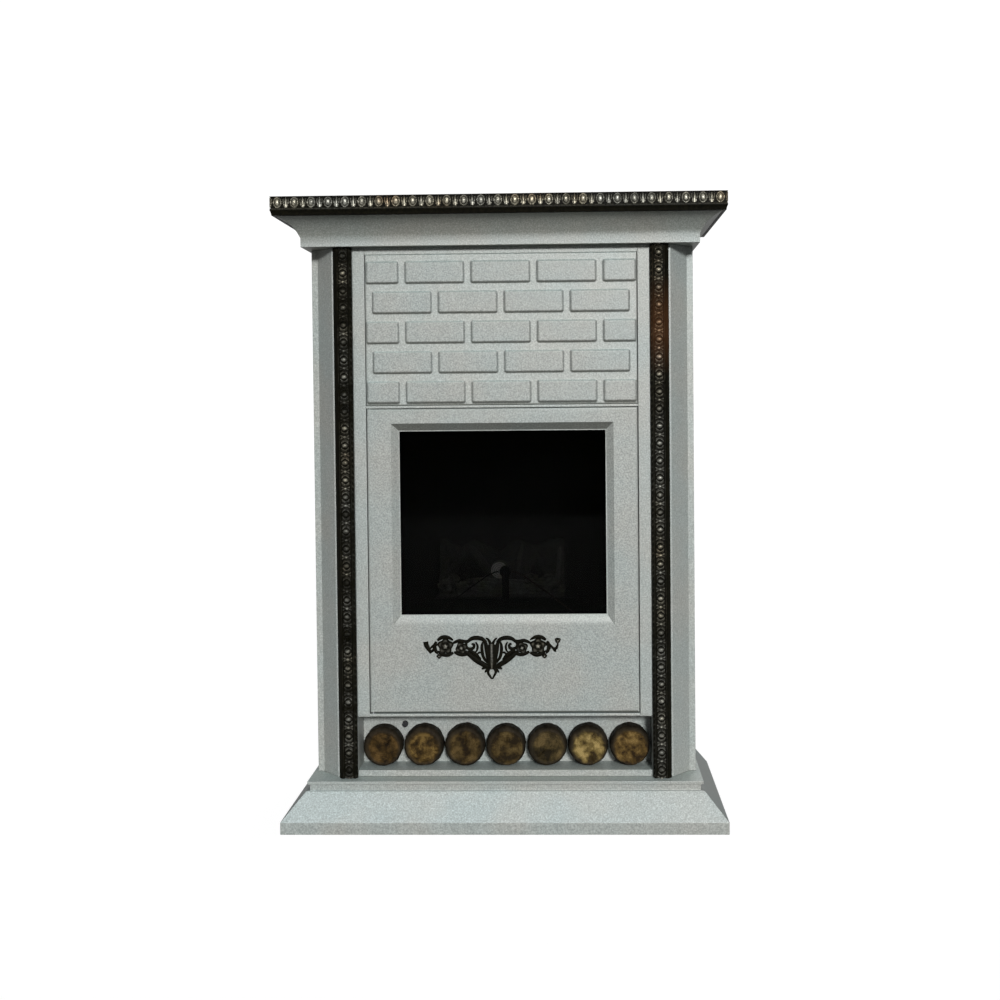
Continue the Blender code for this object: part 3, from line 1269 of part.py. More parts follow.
def gas_train():
    """Valve, spindle and knob below the fire chamber, and the pipes."""
    left, right = VALVE_X - VALVE_LENGTH / 2, VALVE_X + VALVE_LENGTH / 2
    valve = block(
        "gas_valve",
        (left, VALVE_FRONT, VALVE_Z - VALVE_HEIGHT / 2),
        (right, VALVE_REAR, VALVE_Z + VALVE_HEIGHT / 2),
        STEEL,
    )
    bore = SPINDLE_RADIUS + RUNNING
    front = (VALVE_X, VALVE_FRONT, VALVE_Z)
    drill(valve, front, (0, 1, 0), bore, SPINDLE_SOCKET * 2, segments=16)

    seat = SHELF_Z - CLEAR
    path = [(BEZEL_FRONT, VALVE_Z - BEZEL_BELOW), (BEZEL_FRONT, seat), (BEZEL_FRONT + BEZEL_FLANGE, seat)]
    bezel = extruded(
        "knob_bezel",
        folded(path, -BEZEL_THICKNESS),
        lambda y, z: (VALVE_X - BEZEL_HALF, y, z),
        lambda y, z: (VALVE_X + BEZEL_HALF, y, z),
        STEEL,
    )
    drill(bezel, (VALVE_X, BEZEL_FRONT, VALVE_Z), (0, 1, 0), bore + RUNNING, BEZEL_THICKNESS * 6, segments=16)

    start = VALVE_FRONT + SPINDLE_SOCKET - RUNNING
    length = start - KNOB_BACK + KNOB_GRIP
    place = (VALVE_X, start, VALVE_Z)
    rod = [(0.0, 0.0), (SPINDLE_RADIUS, 0.0), (SPINDLE_RADIUS, length), (0.0, length)]
    turned("valve_spindle", rod, place, (0, -1, 0), STEEL, segments=16, origin=place)
    bore_end = KNOB_GRIP + KNOB_STROKE + RUNNING
    grip = [
        (0.0, KNOB_HEIGHT),
        (KNOB_RADIUS * 0.80, KNOB_HEIGHT),
        (KNOB_RADIUS * 0.88, KNOB_HEIGHT - 0.0015),
        (KNOB_RADIUS * 0.92, 0.005),
        (KNOB_RADIUS, 0.003),
        (KNOB_RADIUS, 0.0),
        (bore, 0.0),
        (bore, bore_end),
        (0.0, bore_end),
    ]
    place = (VALVE_X, KNOB_BACK, VALVE_Z)
    knob = turned("control_knob", grip, place, (0, -1, 0), PLASTIC, origin=place)
    rib = block(
        "knob_rib",
        (VALVE_X - KNOB_RIB, KNOB_FRONT - KNOB_RIB, VALVE_Z + KNOB_RIB),
        (VALVE_X + KNOB_RIB, KNOB_FRONT + KNOB_RIB, VALVE_Z + KNOB_RADIUS * 0.75),
        PLASTIC,
    )
    combine(knob, rib, "UNION")

    length = INLET_END - VALVE_REAR - CLEAR
    nut_start = length - NUT_LENGTH
    inlet = [(0.0, 0.0), (INLET_RADIUS, 0.0), (INLET_RADIUS, length - 0.001), (INLET_RADIUS - 0.001, length)]
    inlet += [(INLET_RADIUS * 0.7, length), (INLET_RADIUS * 0.7, nut_start), (0.0, nut_start)]
    begin = (VALVE_X, VALVE_REAR + CLEAR, VALVE_Z)
    stub = turned("gas_inlet_pipe", inlet, begin, (0, 1, 0), STEEL, segments=16)
    collar = [(INLET_RADIUS - 0.001, nut_start), (NUT_RADIUS, nut_start), (NUT_RADIUS, length - 0.004)]
    collar.append((INLET_RADIUS - 0.001, length - 0.004))
    nut = turned("union_nut", collar, begin, (0, 1, 0), STEEL, segments=6, closed=True, smooth=None)
    combine(stub, nut, "UNION")

    outlet = (VALVE_FRONT + VALVE_REAR) / 2
    hole = (BURNER_FRONT + BURNER_REAR) / 2
    pipe(
        "burner_pipe",
        [
            (right + CLEAR, outlet, VALVE_Z),
            (right + PIPE_BEND * 0.4, outlet, VALVE_Z),
            (right + PIPE_BEND * 0.8, outlet, VALVE_Z),
            (SERVICE_HOLE_X - PIPE_BEND * 1.2, (outlet + hole) / 2, VALVE_Z + PIPE_BEND * 0.2),
            (SERVICE_HOLE_X - PIPE_BEND * 0.2, hole - PIPE_BEND * 0.3, SHELF_Z - PIPE_BEND),
            (SERVICE_HOLE_X, hole, SHELF_Z + PIPE_BEND * 0.3),
            (SERVICE_HOLE_X - PIPE_BEND * 0.3, hole, SHELF_Z + PIPE_BEND * 1.4),
            (BURNER_HALF + PIPE_BEND * 0.7, hole, SHELF_Z + PIPE_BEND * 2),
            (BURNER_HALF + CLEAR, hole, SHELF_Z + PIPE_BEND * 2.05),
        ],
        BURNER_PIPE_RADIUS,
        COPPER,
    )
    reach = PILOT_RADIUS + CAPILLARY_RADIUS + CLEAR
    pilot_y = BURNER_FRONT - CLEAR - 0.006
    corner = (BURNER_HALF - PIPE_BEND * 1.75, BURNER_FRONT - PIPE_BEND * 1.1, BURNER_TOP + CLEAR)
    ends = [
        (SERVICE_HOLE_X - PIPE_BEND * 0.3, BURNER_FRONT + PIPE_BEND / 2, SHELF_Z + PIPE_BEND * 1.5),
        corner,
        (PILOT_RADIUS * 3, pilot_y - PIPE_BEND * 0.2, PILOT_Z - PIPE_BEND * 0.3),
        (reach, pilot_y, PILOT_Z),
    ]
    pipe(
        "thermocouple",
        [
            (right + CLEAR, outlet + PIPE_BEND * 0.8, VALVE_Z + PIPE_BEND * 0.6),
            (right + PIPE_BEND, outlet + PIPE_BEND * 0.8, VALVE_Z + PIPE_BEND * 0.7),
            (SERVICE_HOLE_X - PIPE_BEND * 0.6, hole - PIPE_BEND, SHELF_Z - PIPE_BEND * 0.9),
            (SERVICE_HOLE_X, hole - PIPE_BEND / 2, SHELF_Z + CLEAR),
            *ends,
        ],
        CAPILLARY_RADIUS,
        COPPER,
    )
    start = NICHE_BACK + SHEET + CLEAR * 2 + PIEZO_LENGTH
    pipe(
        "ignition_lead",
        [
            (IGNITER_X, start, IGNITER_Z),
            (IGNITER_X, start + PIPE_BEND, IGNITER_Z + PIPE_BEND * 0.2),
            (IGNITER_X + PIPE_BEND / 2, start + PIPE_BEND, NICHE_TOP + PIPE_BEND * 1.5),
            (-SERVICE_HOLE_X, hole + PIPE_BEND * 0.3, SHELF_Z - PIPE_BEND),
            (-SERVICE_HOLE_X, hole, SHELF_Z + CLEAR),
            *[(-x, y, z) for x, y, z in ends],
        ],
        CAPILLARY_RADIUS,
        PLASTIC,
    )


plinth()
cabinet()
rear_cover()
mantel()
column_trims()
brick_panel()
door()
niche()
igniter()
firebox()
burner()
flue()
gas_train()
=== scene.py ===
"""Looks of the gas fireplace: paint, bronze castings, logs, glass, light and camera."""

import json
import random
from math import cos, floor, hypot, pi, radians, sin, sqrt

import bmesh
import bpy
from mathutils import Matrix, Vector, noise


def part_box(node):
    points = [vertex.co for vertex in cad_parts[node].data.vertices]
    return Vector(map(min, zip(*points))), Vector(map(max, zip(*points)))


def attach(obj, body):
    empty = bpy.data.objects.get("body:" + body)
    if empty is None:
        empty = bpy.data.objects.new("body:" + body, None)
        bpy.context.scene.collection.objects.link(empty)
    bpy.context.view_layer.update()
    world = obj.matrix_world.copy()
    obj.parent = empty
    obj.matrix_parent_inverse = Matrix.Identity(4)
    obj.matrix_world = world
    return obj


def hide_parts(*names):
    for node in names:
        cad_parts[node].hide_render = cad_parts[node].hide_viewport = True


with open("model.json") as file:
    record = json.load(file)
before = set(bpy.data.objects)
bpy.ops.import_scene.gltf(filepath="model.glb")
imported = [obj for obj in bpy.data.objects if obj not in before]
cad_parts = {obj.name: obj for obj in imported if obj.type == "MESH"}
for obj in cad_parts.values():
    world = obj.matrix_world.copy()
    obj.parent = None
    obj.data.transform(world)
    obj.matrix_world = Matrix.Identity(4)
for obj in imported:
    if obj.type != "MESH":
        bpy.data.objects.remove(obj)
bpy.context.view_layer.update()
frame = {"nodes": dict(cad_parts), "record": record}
nodes = frame["nodes"]
scene = bpy.context.scene


# Place on the right column around which the bronze turns coppery
COPPER_PATCH = (0.267, -0.136, 0.842)

# Tints for the sprayed coat: painted light, cooler and lighter, on faces turned up; painted shade on faces
# turned down and where a surface carries a tone
UPWARD_LIGHT_TINT = (1.02, 1.09, 1.10)
PLINTH_UPWARD_LIGHT_TINT = (1.40, 1.45, 1.50)
PANEL_UPWARD_LIGHT_TINT = (1.16, 1.22, 1.22)
DOWNWARD_SHADE_TINT = (0.66, 0.65, 0.62)
PANEL_DOWNWARD_SHADE_TINT = (0.42, 0.42, 0.40)
SHADE_TINT = (0.50, 0.51, 0.52)
PAINT_TONES = ((0.325, 0.345, 0.330), (0.43, 0.45, 0.432), (0.575, 0.60, 0.58))


class Nodes:
    """A node tree with short ways to add to it."""

    def __init__(self, tree, shader):
        self.tree = tree
        self.shader = tree.nodes[shader]

    def feed(self, node, values):
        """Give a node's inputs numbers, vectors, colours or other nodes' outputs."""
        for key, value in values.items():
            socket = node.inputs[key]
            if isinstance(value, bpy.types.NodeSocket):
                self.tree.links.new(value, socket)
            elif isinstance(value, tuple) and socket.type == "RGBA":
                socket.default_value = (*value, 1.0)
            else:
                socket.default_value = value
        return node

    def add(self, kind, values=None, **settings):
        node = self.tree.nodes.new(kind)
        for key, value in settings.items():
            setattr(node, key, value)
        return self.feed(node, values or {})

    def ramp(self, source, *stops):
        node = self.add("ShaderNodeValToRGB", {"Fac": source})
        ramp = node.color_ramp
        while len(ramp.elements) < len(stops):
            ramp.elements.new(0.5)
        for element, (place, colour) in zip(ramp.elements, stops):
            element.position = place
            if not isinstance(colour, tuple):
                colour = (colour,) * 3
            element.color = (*colour, 1.0)
        return node.outputs["Color"]

    def scaled(self, source, low, high, start=0.0, end=1.0):
        values = {"Value": source, "From Min": start, "From Max": end, "To Min": low, "To Max": high}
        return self.add("ShaderNodeMapRange", values).outputs["Result"]

    def math(self, operation, one, other):
        return self.add("ShaderNodeMath", {0: one, 1: other}, operation=operation).outputs["Value"]

    def mix(self, share, one, other, blend="MIX"):
        node = self.add("ShaderNodeMix", data_type="RGBA", blend_type=blend)
        first, second = [index for index, socket in enumerate(node.inputs) if socket.type == "RGBA"]
        self.feed(node, {"Factor": share, first: one, second: other})
        return [socket for socket in node.outputs if socket.type == "RGBA"][0]

    def tinted(self, share, colour, tint):
        """The colour, multiplied by a tint as far as the share says."""
        return self.mix(share, colour, self.mix(1.0, colour, tint, "MULTIPLY"))


class Surface(Nodes):
    """A Principled material in the object's own coordinates."""

    def __init__(self, name, roughness=0.5, metallic=0.0, specular=0.5):
        self.material = bpy.data.materials.new(name)
        self.material.use_nodes = True
        super().__init__(self.material.node_tree, "Principled BSDF")
        self.shade({"Roughness": roughness, "Metallic": metallic, "Specular IOR Level": specular})
        self.place = self.add("ShaderNodeTexCoord").outputs["Object"]

    def shade(self, values):
        self.feed(self.shader, values)

    def moved(self, stretch, shift):
        values = {"Vector": self.place, "Scale": stretch, "Location": shift}
        return self.add("ShaderNodeMapping", values).outputs["Vector"]

    def noise(self, scale, detail=3.0, roughness=0.5, vector=None, distortion=0.0):
        values = {"Vector": vector or self.place, "Scale": scale, "Detail": detail, "Roughness": roughness,
                  "Distortion": distortion}
        return self.add("ShaderNodeTexNoise", values).outputs["Fac"]

    def painted(self, name):
        """A value that the mesh carries from vertex to vertex."""
        return self.add("ShaderNodeAttribute", attribute_name=name).outputs["Fac"]

    def bump(self, height, distance, strength, before=None):
        values = {"Strength": strength, "Distance": distance, "Height": height}
        if before:
            values["Normal"] = before
        normal = self.add("ShaderNodeBump", values).outputs["Normal"]
        self.shade({"Normal": normal})
        return normal

    def coat(self, colour, roughness, height, distance, strength):
        self.shade({"Base Color": colour, "Roughness": roughness})
        return self.bump(height, distance, strength)


def hammered_paint(name, level, upward_light=UPWARD_LIGHT_TINT, downward_shade=DOWNWARD_SHADE_TINT):
    """Silver-grey hammered enamel: fine flakes, shallow pits and a faint mottle. Faces turned up get painted
    light and faces turned down painted shade. A surface may carry a tone, from 0 to 1, that darkens it; on
    the bricks it is painted shade at their lower and side edges."""
    made = Surface(name, metallic=0.12, specular=0.45)
    flakes = made.noise(430, 2.0, 0.55)
    pits = made.add("ShaderNodeTexVoronoi", {"Vector": made.place, "Scale": 300}, feature="SMOOTH_F1")
    stops = [tuple(channel * level for channel in tone) for tone in PAINT_TONES]
    colour = made.ramp(flakes, *zip((0.30, 0.50, 0.70), stops))
    mottle = made.ramp(made.noise(9, 3.0), (0.38, (0.94, 0.985, 0.98)), (0.62, (1.0, 0.985, 0.955)))
    colour = made.mix(1.0, colour, mottle, "MULTIPLY")
    normal = made.add("ShaderNodeNewGeometry").outputs["Normal"]
    facing = made.add("ShaderNodeSeparateXYZ", {"Vector": normal}).outputs["Z"]
    # Painted light on faces turned up, painted shade on faces turned down
    colour = made.tinted(made.scaled(facing, 0.0, 1.0, 0.25, 0.60), colour, upward_light)
    colour = made.tinted(made.scaled(facing, 0.0, 1.0, -0.06, -0.40), colour, downward_shade)
    # Painted shade where the surface carries a tone
    colour = made.tinted(made.painted("tone"), colour, SHADE_TINT)
    uneven = made.math("ADD", pits.outputs["Distance"], made.math("MULTIPLY", flakes, 0.5))
    made.coat(colour, made.scaled(flakes, 0.38, 0.55, 0.3, 0.7), uneven, 0.0005, 0.45)
    return made.material


def black_bronze():
    """Near-black bronze lacquer, rubbed bright where the relief stands high, with coppery patches."""
    made = Surface("black_bronze", specular=0.04)
    grain = made.noise(260, 4.0, 0.6)
    patches = made.noise(9, 2.0)
    worn = made.math("MULTIPLY", made.painted("rub"), made.scaled(grain, 0.25, 1.3, 0.35, 0.65))
    bright = made.ramp(patches, (0.42, (0.60, 0.60, 0.53)), (0.56, (0.68, 0.63, 0.48)),
                       (0.70, (0.72, 0.50, 0.30)))
    away = made.add("ShaderNodeVectorMath", {0: made.place, 1: COPPER_PATCH}, operation="DISTANCE")
    near = made.scaled(away.outputs["Value"], 1.0, 0.0, 0.02, 0.085)
    bright = made.mix(near, bright, (0.85, 0.56, 0.34))
    dark = made.ramp(grain, (0.35, (0.003, 0.003, 0.002)), (0.7, (0.009, 0.008, 0.004)))
    warm = made.mix(near, dark, (0.045, 0.020, 0.008))
    made.shade({"Metallic": made.scaled(worn, 0.0, 0.9)})
    made.coat(made.mix(worn, warm, bright), made.scaled(grain, 0.34, 0.55, 0.3, 0.7), grain, 0.0003, 0.4)
    return made.material


def dark_glass():
    """Smoked ceramic glass that shows the fire bed only faintly."""
    made = Surface("dark_glass", specular=0.15)
    smear = made.noise(14, 3.0)
    colour = made.ramp(smear, (0.3, (0.185, 0.19, 0.185)), (0.7, (0.215, 0.22, 0.215)))
    roughness = made.scaled(smear, 0.015, 0.05, 0.3, 0.7)
    made.shade({"Transmission Weight": 1.0, "IOR": 1.12, "Base Color": colour, "Roughness": roughness})
    return made.material


def steel(name, colour, low, high, metallic, scale):
    """Worked metal with a fine uneven sheen."""
    made = Surface(name, metallic=metallic)
    streaks = made.noise(scale, 4.0, 0.6)
    dark = tuple(channel * 0.75 for channel in colour)
    colour = made.ramp(streaks, (0.3, dark), (0.7, colour))
    made.coat(colour, made.scaled(streaks, low, high, 0.3, 0.7), streaks, 0.0001, 0.3)
    return made.material


def galvanised():
    """Zinc sheet with faint spangles."""
    made = Surface("galvanised_steel", metallic=0.9)
    spangle = made.add("ShaderNodeTexVoronoi", {"Vector": made.place, "Scale": 90}).outputs["Color"]
    tone = made.add("ShaderNodeRGBToBW", {"Color": spangle}).outputs["Val"]
    colour = made.ramp(tone, (0.1, (0.34, 0.35, 0.36)), (0.9, (0.50, 0.51, 0.52)))
    made.coat(colour, made.scaled(tone, 0.32, 0.5), made.noise(500, 2.0), 0.0001, 0.2)
    return made.material


def matt(name, dark, light, roughness, scale, relief, strength=0.6):
    """A rough dull surface with two tones."""
    made = Surface(name, specular=0.3)
    grain = made.noise(scale, 5.0, 0.6)
    rough = made.scaled(grain, roughness - 0.08, min(roughness + 0.08, 1.0), 0.3, 0.7)
    made.coat(made.ramp(grain, (0.3, dark), (0.7, light)), rough, grain, relief, strength)
    return made.material


def ceramic_logs():
    """Cast ceramic logs: sooty grey with paler, faintly yellow places where the mesh carries paleness."""
    made = Surface("ceramic_logs", specular=0.15)
    grain = made.noise(220, 5.0, 0.65)
    patches = made.noise(28, 3.0)
    soot = made.ramp(grain, (0.3, (0.030, 0.030, 0.028)), (0.7, (0.075, 0.074, 0.068)))
    clean = made.ramp(patches, (0.40, (0.74, 0.74, 0.71)), (0.62, (0.66, 0.66, 0.42)))
    share = made.math("MULTIPLY", made.painted("pale"), made.scaled(grain, 0.55, 1.25, 0.3, 0.7))
    made.coat(made.mix(share, soot, clean), made.scaled(grain, 0.8, 0.95), grain, 0.0008, 0.7)
    return made.material


def woven_seal():
    """Flat woven ceramic tape."""
    made = Surface("ceramic_rope", roughness=0.9, specular=0.2)
    wave = made.add("ShaderNodeTexWave", {"Vector": made.place, "Scale": 120, "Distortion": 1.5},
                    wave_type="BANDS", bands_direction="DIAGONAL").outputs["Fac"]
    made.shade({"Base Color": made.ramp(wave, (0.2, (0.16, 0.155, 0.14)), (0.8, (0.33, 0.32, 0.29)))})
    made.bump(wave, 0.0004, 0.7)
    return made.material


# Turn of the ring pattern's wave, in radians for each metre from the heart
YEARS_PER_METRE = 2300.0


def sawn_wood(name, seed, dark, light, heart):
    """End grain with rings about the log's own axis, radial checks and darker bark outside."""
    made = Surface(name, specular=0.08)
    shift = (seed * 3.1, seed * 1.7, seed * 5.3)
    split = made.add("ShaderNodeSeparateXYZ", {"Vector": made.place})
    wobble = made.noise(22, 3.0, 0.55, made.moved((1, 1, 1), shift))
    across = made.math("POWER", split.outputs["X"], 2.0)
    up = made.math("POWER", split.outputs["Z"], 2.0)
    radius = made.math("SQRT", made.math("ADD", across, up), 0.0)
    wavy = made.math("ADD", radius, made.scaled(wobble, -0.006, 0.006, 0.25, 0.75))
    rings = made.math("SINE", made.math("MULTIPLY", wavy, YEARS_PER_METRE), 0.0)
    patches = made.noise(52, 5.0, 0.6, made.moved((1, 0.3, 1), shift), 0.1)
    body = made.ramp(patches, (0.38, dark), (0.50, light), (0.62, heart))
    lines = made.ramp(made.scaled(rings, 0.0, 1.0, -1.0, 1.0), (0.0, 0.72), (0.6, 1.0))
    face = made.mix(0.8, body, lines, "MULTIPLY")
    fibre = made.noise(300, 4.0, 0.65, made.moved((1, 0.15, 1), shift))
    face = made.mix(0.5, face, made.ramp(fibre, (0.3, 0.6), (0.7, 1.15)), "MULTIPLY")
    rough = made.noise(90, 5.0, 0.65, made.moved((1, 0.35, 1), shift))
    bark = made.ramp(rough, (0.3, (0.007, 0.006, 0.004)), (0.7, (0.035, 0.027, 0.017)))
    colour = made.mix(made.painted("bark"), face, bark)
    first = made.coat(colour, made.scaled(fibre, 0.55, 0.8, 0.3, 0.7), fibre, 0.0006, 0.5)
    made.bump(rings, 0.0002, 0.35, first)
    return made.material


PAINT = hammered_paint("hammered_paint", 0.93)
COLUMN_PAINT = hammered_paint("hammered_paint_column", 0.87)
PANEL_PAINT = hammered_paint("hammered_paint_panel", 0.815, PANEL_UPWARD_LIGHT_TINT, PANEL_DOWNWARD_SHADE_TINT)
PLINTH_PAINT = hammered_paint("hammered_paint_plinth", 0.84, PLINTH_UPWARD_LIGHT_TINT)
# Painted shade: the plinth sides' paint is darkened to about half of the plinth's
PLINTH_SIDE_SHADE_PAINT = hammered_paint("hammered_paint_plinth_side_shade", 0.42)
HEARTH_PAINT = hammered_paint("hammered_paint_hearth", 0.86)
BRONZE = black_bronze()
GLASS = dark_glass()
ZINC = galvanised()
ENAMEL = matt("black_enamel", (0.006, 0.006, 0.006), (0.02, 0.02, 0.019), 0.55, 180, 0.0002)
SOOT = matt("sooted_steel", (0.003, 0.003, 0.003), (0.009, 0.009, 0.008), 0.75, 90, 0.0003)
PLASTIC = matt("black_plastic", (0.010, 0.010, 0.011), (0.022, 0.022, 0.023), 0.42, 900, 0.00008, 0.4)
FIBRE = matt("ceramic_fibre", (0.13, 0.11, 0.085), (0.42, 0.38, 0.32), 0.9, 60, 0.003, 0.9)
CERAMIC = ceramic_logs()
BRASS = steel("brass", (0.56, 0.43, 0.20), 0.28, 0.45, 0.95, 300)
SOOTY_COPPER = steel("sooty_copper", (0.060, 0.035, 0.025), 0.5, 0.7, 0.3, 200)
COPPER = steel("copper", (0.58, 0.30, 0.18), 0.28, 0.45, 0.95, 200)
SEAL = woven_seal()

SLOTS = {
    "hammered_paint": PAINT, "black_bronze": BRONZE, "dark_glass": GLASS, "galvanised_steel": ZINC,
    "black_enamel": ENAMEL, "black_plastic": PLASTIC, "ceramic_fibre": FIBRE, "brass": BRASS,
    "copper": COPPER, "ceramic_rope": SEAL,
}
ROUND = {"flue_collar", "piezo_igniter", "igniter_button", "valve_spindle", "control_knob", "gas_inlet_pipe",
         "burner_pipe", "thermocouple", "ignition_lead", "pilot_burner", "hinge_pin_upper", "hinge_pin_lower"}
COATS = {name: made for made, names in (
    (PANEL_PAINT, ("window_panel",)),
    (COLUMN_PAINT, ("column_left", "column_right", "stile_left", "stile_right")),
    (PLINTH_PAINT, ("plinth_front", "plinth_rear")),
    (PLINTH_SIDE_SHADE_PAINT, ("plinth_left", "plinth_right")),
    (HEARTH_PAINT, ("hearth_plate", "log_tray")),
    (SOOTY_COPPER, ("thermocouple",)),
    (SOOT, ("firebox_shell", "firebox_roof", "pilot_burner", "burner_box")),
) for name in names}


def modify(made, name, kind, **values):
    modifier = made.modifiers.new(name, kind)
    for key, value in values.items():
        setattr(modifier, key, value)


def soften(node, width, angle):
    """Round a CAD node's edges by modifiers alone."""
    node.data.shade_smooth()
    modify(node, "weld", "WELD", merge_threshold=0.00002)
    angle = radians(angle)
    modify(node, "edges", "BEVEL", width=width, segments=2, limit_method="ANGLE", angle_limit=angle)
    modify(node, "normals", "WEIGHTED_NORMAL", mode="FACE_AREA", weight=100, use_face_influence=True)


def coat(name, slot):
    """Give a CAD node its material and, unless a finer form stands for it, soft edges."""
    node = nodes[name]
    node.data.materials.clear()
    node.data.materials.append(COATS.get(name) or SLOTS.get(slot, FIBRE))
    if name in ROUND:
        soften(node, 0.0003, 35)
    elif name != "ceramic_fire_bed":
        soften(node, 0.0006, 30)


for entry in frame["record"]["subparts"]:
    coat(entry["node"], entry["material_slot"])


class Form:
    """A mesh in the making, in the shared frame, whose vertices may carry a value for the material."""

    def __init__(self, value=None):
        self.bm = bmesh.new()
        self.layer = self.bm.verts.layers.float.new(value) if value else None

    def vertex(self, place, value=None):
        vert = self.bm.verts.new(place)
        if value is not None:
            vert[self.layer] = value
        return vert

    def face(self, verts):
        self.bm.faces.new(verts)

    def skin(self, rows, closed=False):
        """Faces between rows of vertices, also from each row's end to its start where these are rings."""
        for one, other in zip(rows, rows[1:]):
            count = len(one)
            for index in range(count if closed else count - 1):
                following = (index + 1) % count
                self.face((one[index], one[following], other[following], other[index]))

    def caps(self, rings):
        self.face(rings[0])
        self.face(rings[-1][::-1])

    def fan(self, ring, tip):
        """Faces from a ring to one vertex."""
        for index, vert in enumerate(ring):
            self.face((vert, ring[(index + 1) % len(ring)], tip))

    def weld(self):
        bmesh.ops.remove_doubles(self.bm, verts=self.bm.verts, dist=0.00002)

    def outward(self):
        bmesh.ops.recalc_face_normals(self.bm, faces=self.bm.faces)

    def mesh(self, name, material, origin=(0, 0, 0)):
        mesh = bpy.data.meshes.new(name)
        self.bm.to_mesh(mesh)
        self.bm.free()
        mesh.transform(Matrix.Translation(-Vector(origin)))
        mesh.materials.append(material)
        mesh.shade_smooth()
        return mesh

    def finish(self, name, material, body, stands_for=(), smooth=40, origin=(0, 0, 0)):
        """Make the object and attach it to its body."""
        mesh = self.mesh(name, material, origin)
        mesh.set_sharp_from_angle(angle=radians(smooth))
        made = bpy.data.objects.new(name, mesh)
        made.location = origin
        scene.collection.objects.link(made)
        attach(made, body)
        if stands_for:
            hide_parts(*stands_for)
        return made


def angles(count, start=0.0):
    """Angles of a full turn in equal steps."""
    return [2 * pi * step / count + start for step in range(count)]


def uneven(x, y, z):
    """A value from about -1 to 1 that changes smoothly with the place."""
    return noise.noise(Vector((x, y, z)))


def clamp(value):
    return min(max(value, 0.0), 1.0)


def dome(distance):
    """Height of a round crown: 1 in the middle, 0 from distance 1 on."""
    return sqrt(max(0.0, 1.0 - distance * distance))


def ridge(distance, width):
    """Height of a rounded rib at a distance from its middle line."""
    return dome(min(1.0, abs(distance) / width))


def wander(place):
    """An uneven value from 0 to 1 that changes slowly with the place."""
    return clamp(0.5 + 0.9 * uneven(place, 0.37, 5.1))


def relief(trim, length, steps, heights, outer, surface, place, mitres):
    """A cast moulding for a CAD trim, as a grid: surface(s, h) gives its depth and how far it is rubbed
    bright."""
    form = Form("rub")
    rows = []
    for h in heights:
        row = []
        for step in range(steps + 1):
            s = length * step / steps
            d, rub = surface(s, h)
            s = min(max(s, mitres[0] * (outer - d)), length - mitres[1] * (outer - d))
            row.append(form.vertex(place(s, h, d), rub))
        rows.append(row)
    back = []
    for h in (heights[0], heights[-1]):
        ends = (mitres[0] * outer, length - mitres[1] * outer)
        back.append([form.vertex(place(s, h, 0.0)) for s in ends])
    form.skin(rows)
    form.face((*back[0], *rows[0][::-1]))
    form.face((*rows[-1], *back[1][::-1]))
    form.face([row[0] for row in rows] + [back[1][0], back[0][0]])
    form.face([row[-1] for row in rows[::-1]] + [back[0][1], back[1][1]])
    form.face((back[0][0], back[1][0], back[1][1], back[0][1]))
    form.weld()
    form.outward()
    form.finish(trim.replace("trim", "moulding"), BRONZE, "cabinet", (trim,), 50)


# Mantel edge: a lower fillet, then ovals in rings with darts between them
TRIM_LOW, TRIM_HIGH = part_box("mantel_trim_front")
TRIM_HEIGHT = TRIM_HIGH.z - TRIM_LOW.z
TRIM_REACH = 0.010
FRONT_EGGS = 27
SIDE_EGGS = 14
EGG_STEPS = 26
BAND_LOW = 0.0105
BAND_FLOOR = 0.0062
FILLET_CROWN = 0.0084


def mantel_surface(count, length):
    pitch = length / count
    middle = (BAND_LOW + TRIM_HEIGHT) / 2

    def at(s, h):
        if h < BAND_LOW:
            share = h / BAND_LOW
            return BAND_FLOOR + (FILLET_CROWN - BAND_FLOOR) * share + 0.0008 * ridge(share - 0.80, 0.18), 0.0
        edge = min(h - BAND_LOW, TRIM_HEIGHT - h)
        lip = ridge(edge - 0.0006, 0.0009)
        cell = s / pitch
        u = (cell - floor(cell) - 0.5) * pitch
        v = h - middle
        reach = hypot(u / 0.0068, v / 0.0089)
        ring = ridge(reach - 0.88, 0.13)
        egg = dome(hypot(u / 0.0044, v / 0.0064))
        side = pitch / 2 - abs(u)
        spread = 0.0009 + 0.0021 * clamp((0.0065 - v) / 0.013)
        dart = ridge(side, spread) * (1.0 if abs(v) < 0.0082 else 0.0)
        leaf = ridge(side - 0.0038 - 0.1 * v, 0.0007) * (1.0 if abs(v) < 0.006 and reach > 1.05 else 0.0)
        height = max(egg * 0.0037, ring * 0.0026, dart * 0.0023, leaf * 0.0015, lip * 0.0026)
        wear = 0.55 + 0.75 * wander(floor(cell) * 3.7 + 11)
        rub = max(egg ** 2 * (0.6 + 0.4 * wear), ring * 0.75 * wear, dart * 0.75, leaf * 0.5, lip * 0.10)
        return BAND_FLOOR + height, rub

    return at


def mantel_mouldings():
    heights = [BAND_LOW * step / 6 for step in range(6)]
    heights += [BAND_LOW + (TRIM_HEIGHT - BAND_LOW) * step / 26 for step in range(27)]
    run = TRIM_HIGH.x - TRIM_LOW.x
    relief("mantel_trim_front", run, FRONT_EGGS * EGG_STEPS, heights, TRIM_REACH,
           mantel_surface(FRONT_EGGS, run), lambda s, h, d: (TRIM_LOW.x + s, TRIM_HIGH.y - d, TRIM_LOW.z + h),
           (1, 1))
    for sign, side in ((-1, "left"), (1, "right")):
        low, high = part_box("mantel_trim_" + side)
        inner = high.x if sign < 0 else low.x
        run = high.y - low.y
        relief("mantel_trim_" + side, run, SIDE_EGGS * EGG_STEPS, heights, TRIM_REACH,
               mantel_surface(SIDE_EGGS, run), lambda s, h, d: (inner + sign * d, low.y + s, low.z + h),
               (1, 0))


mantel_mouldings()


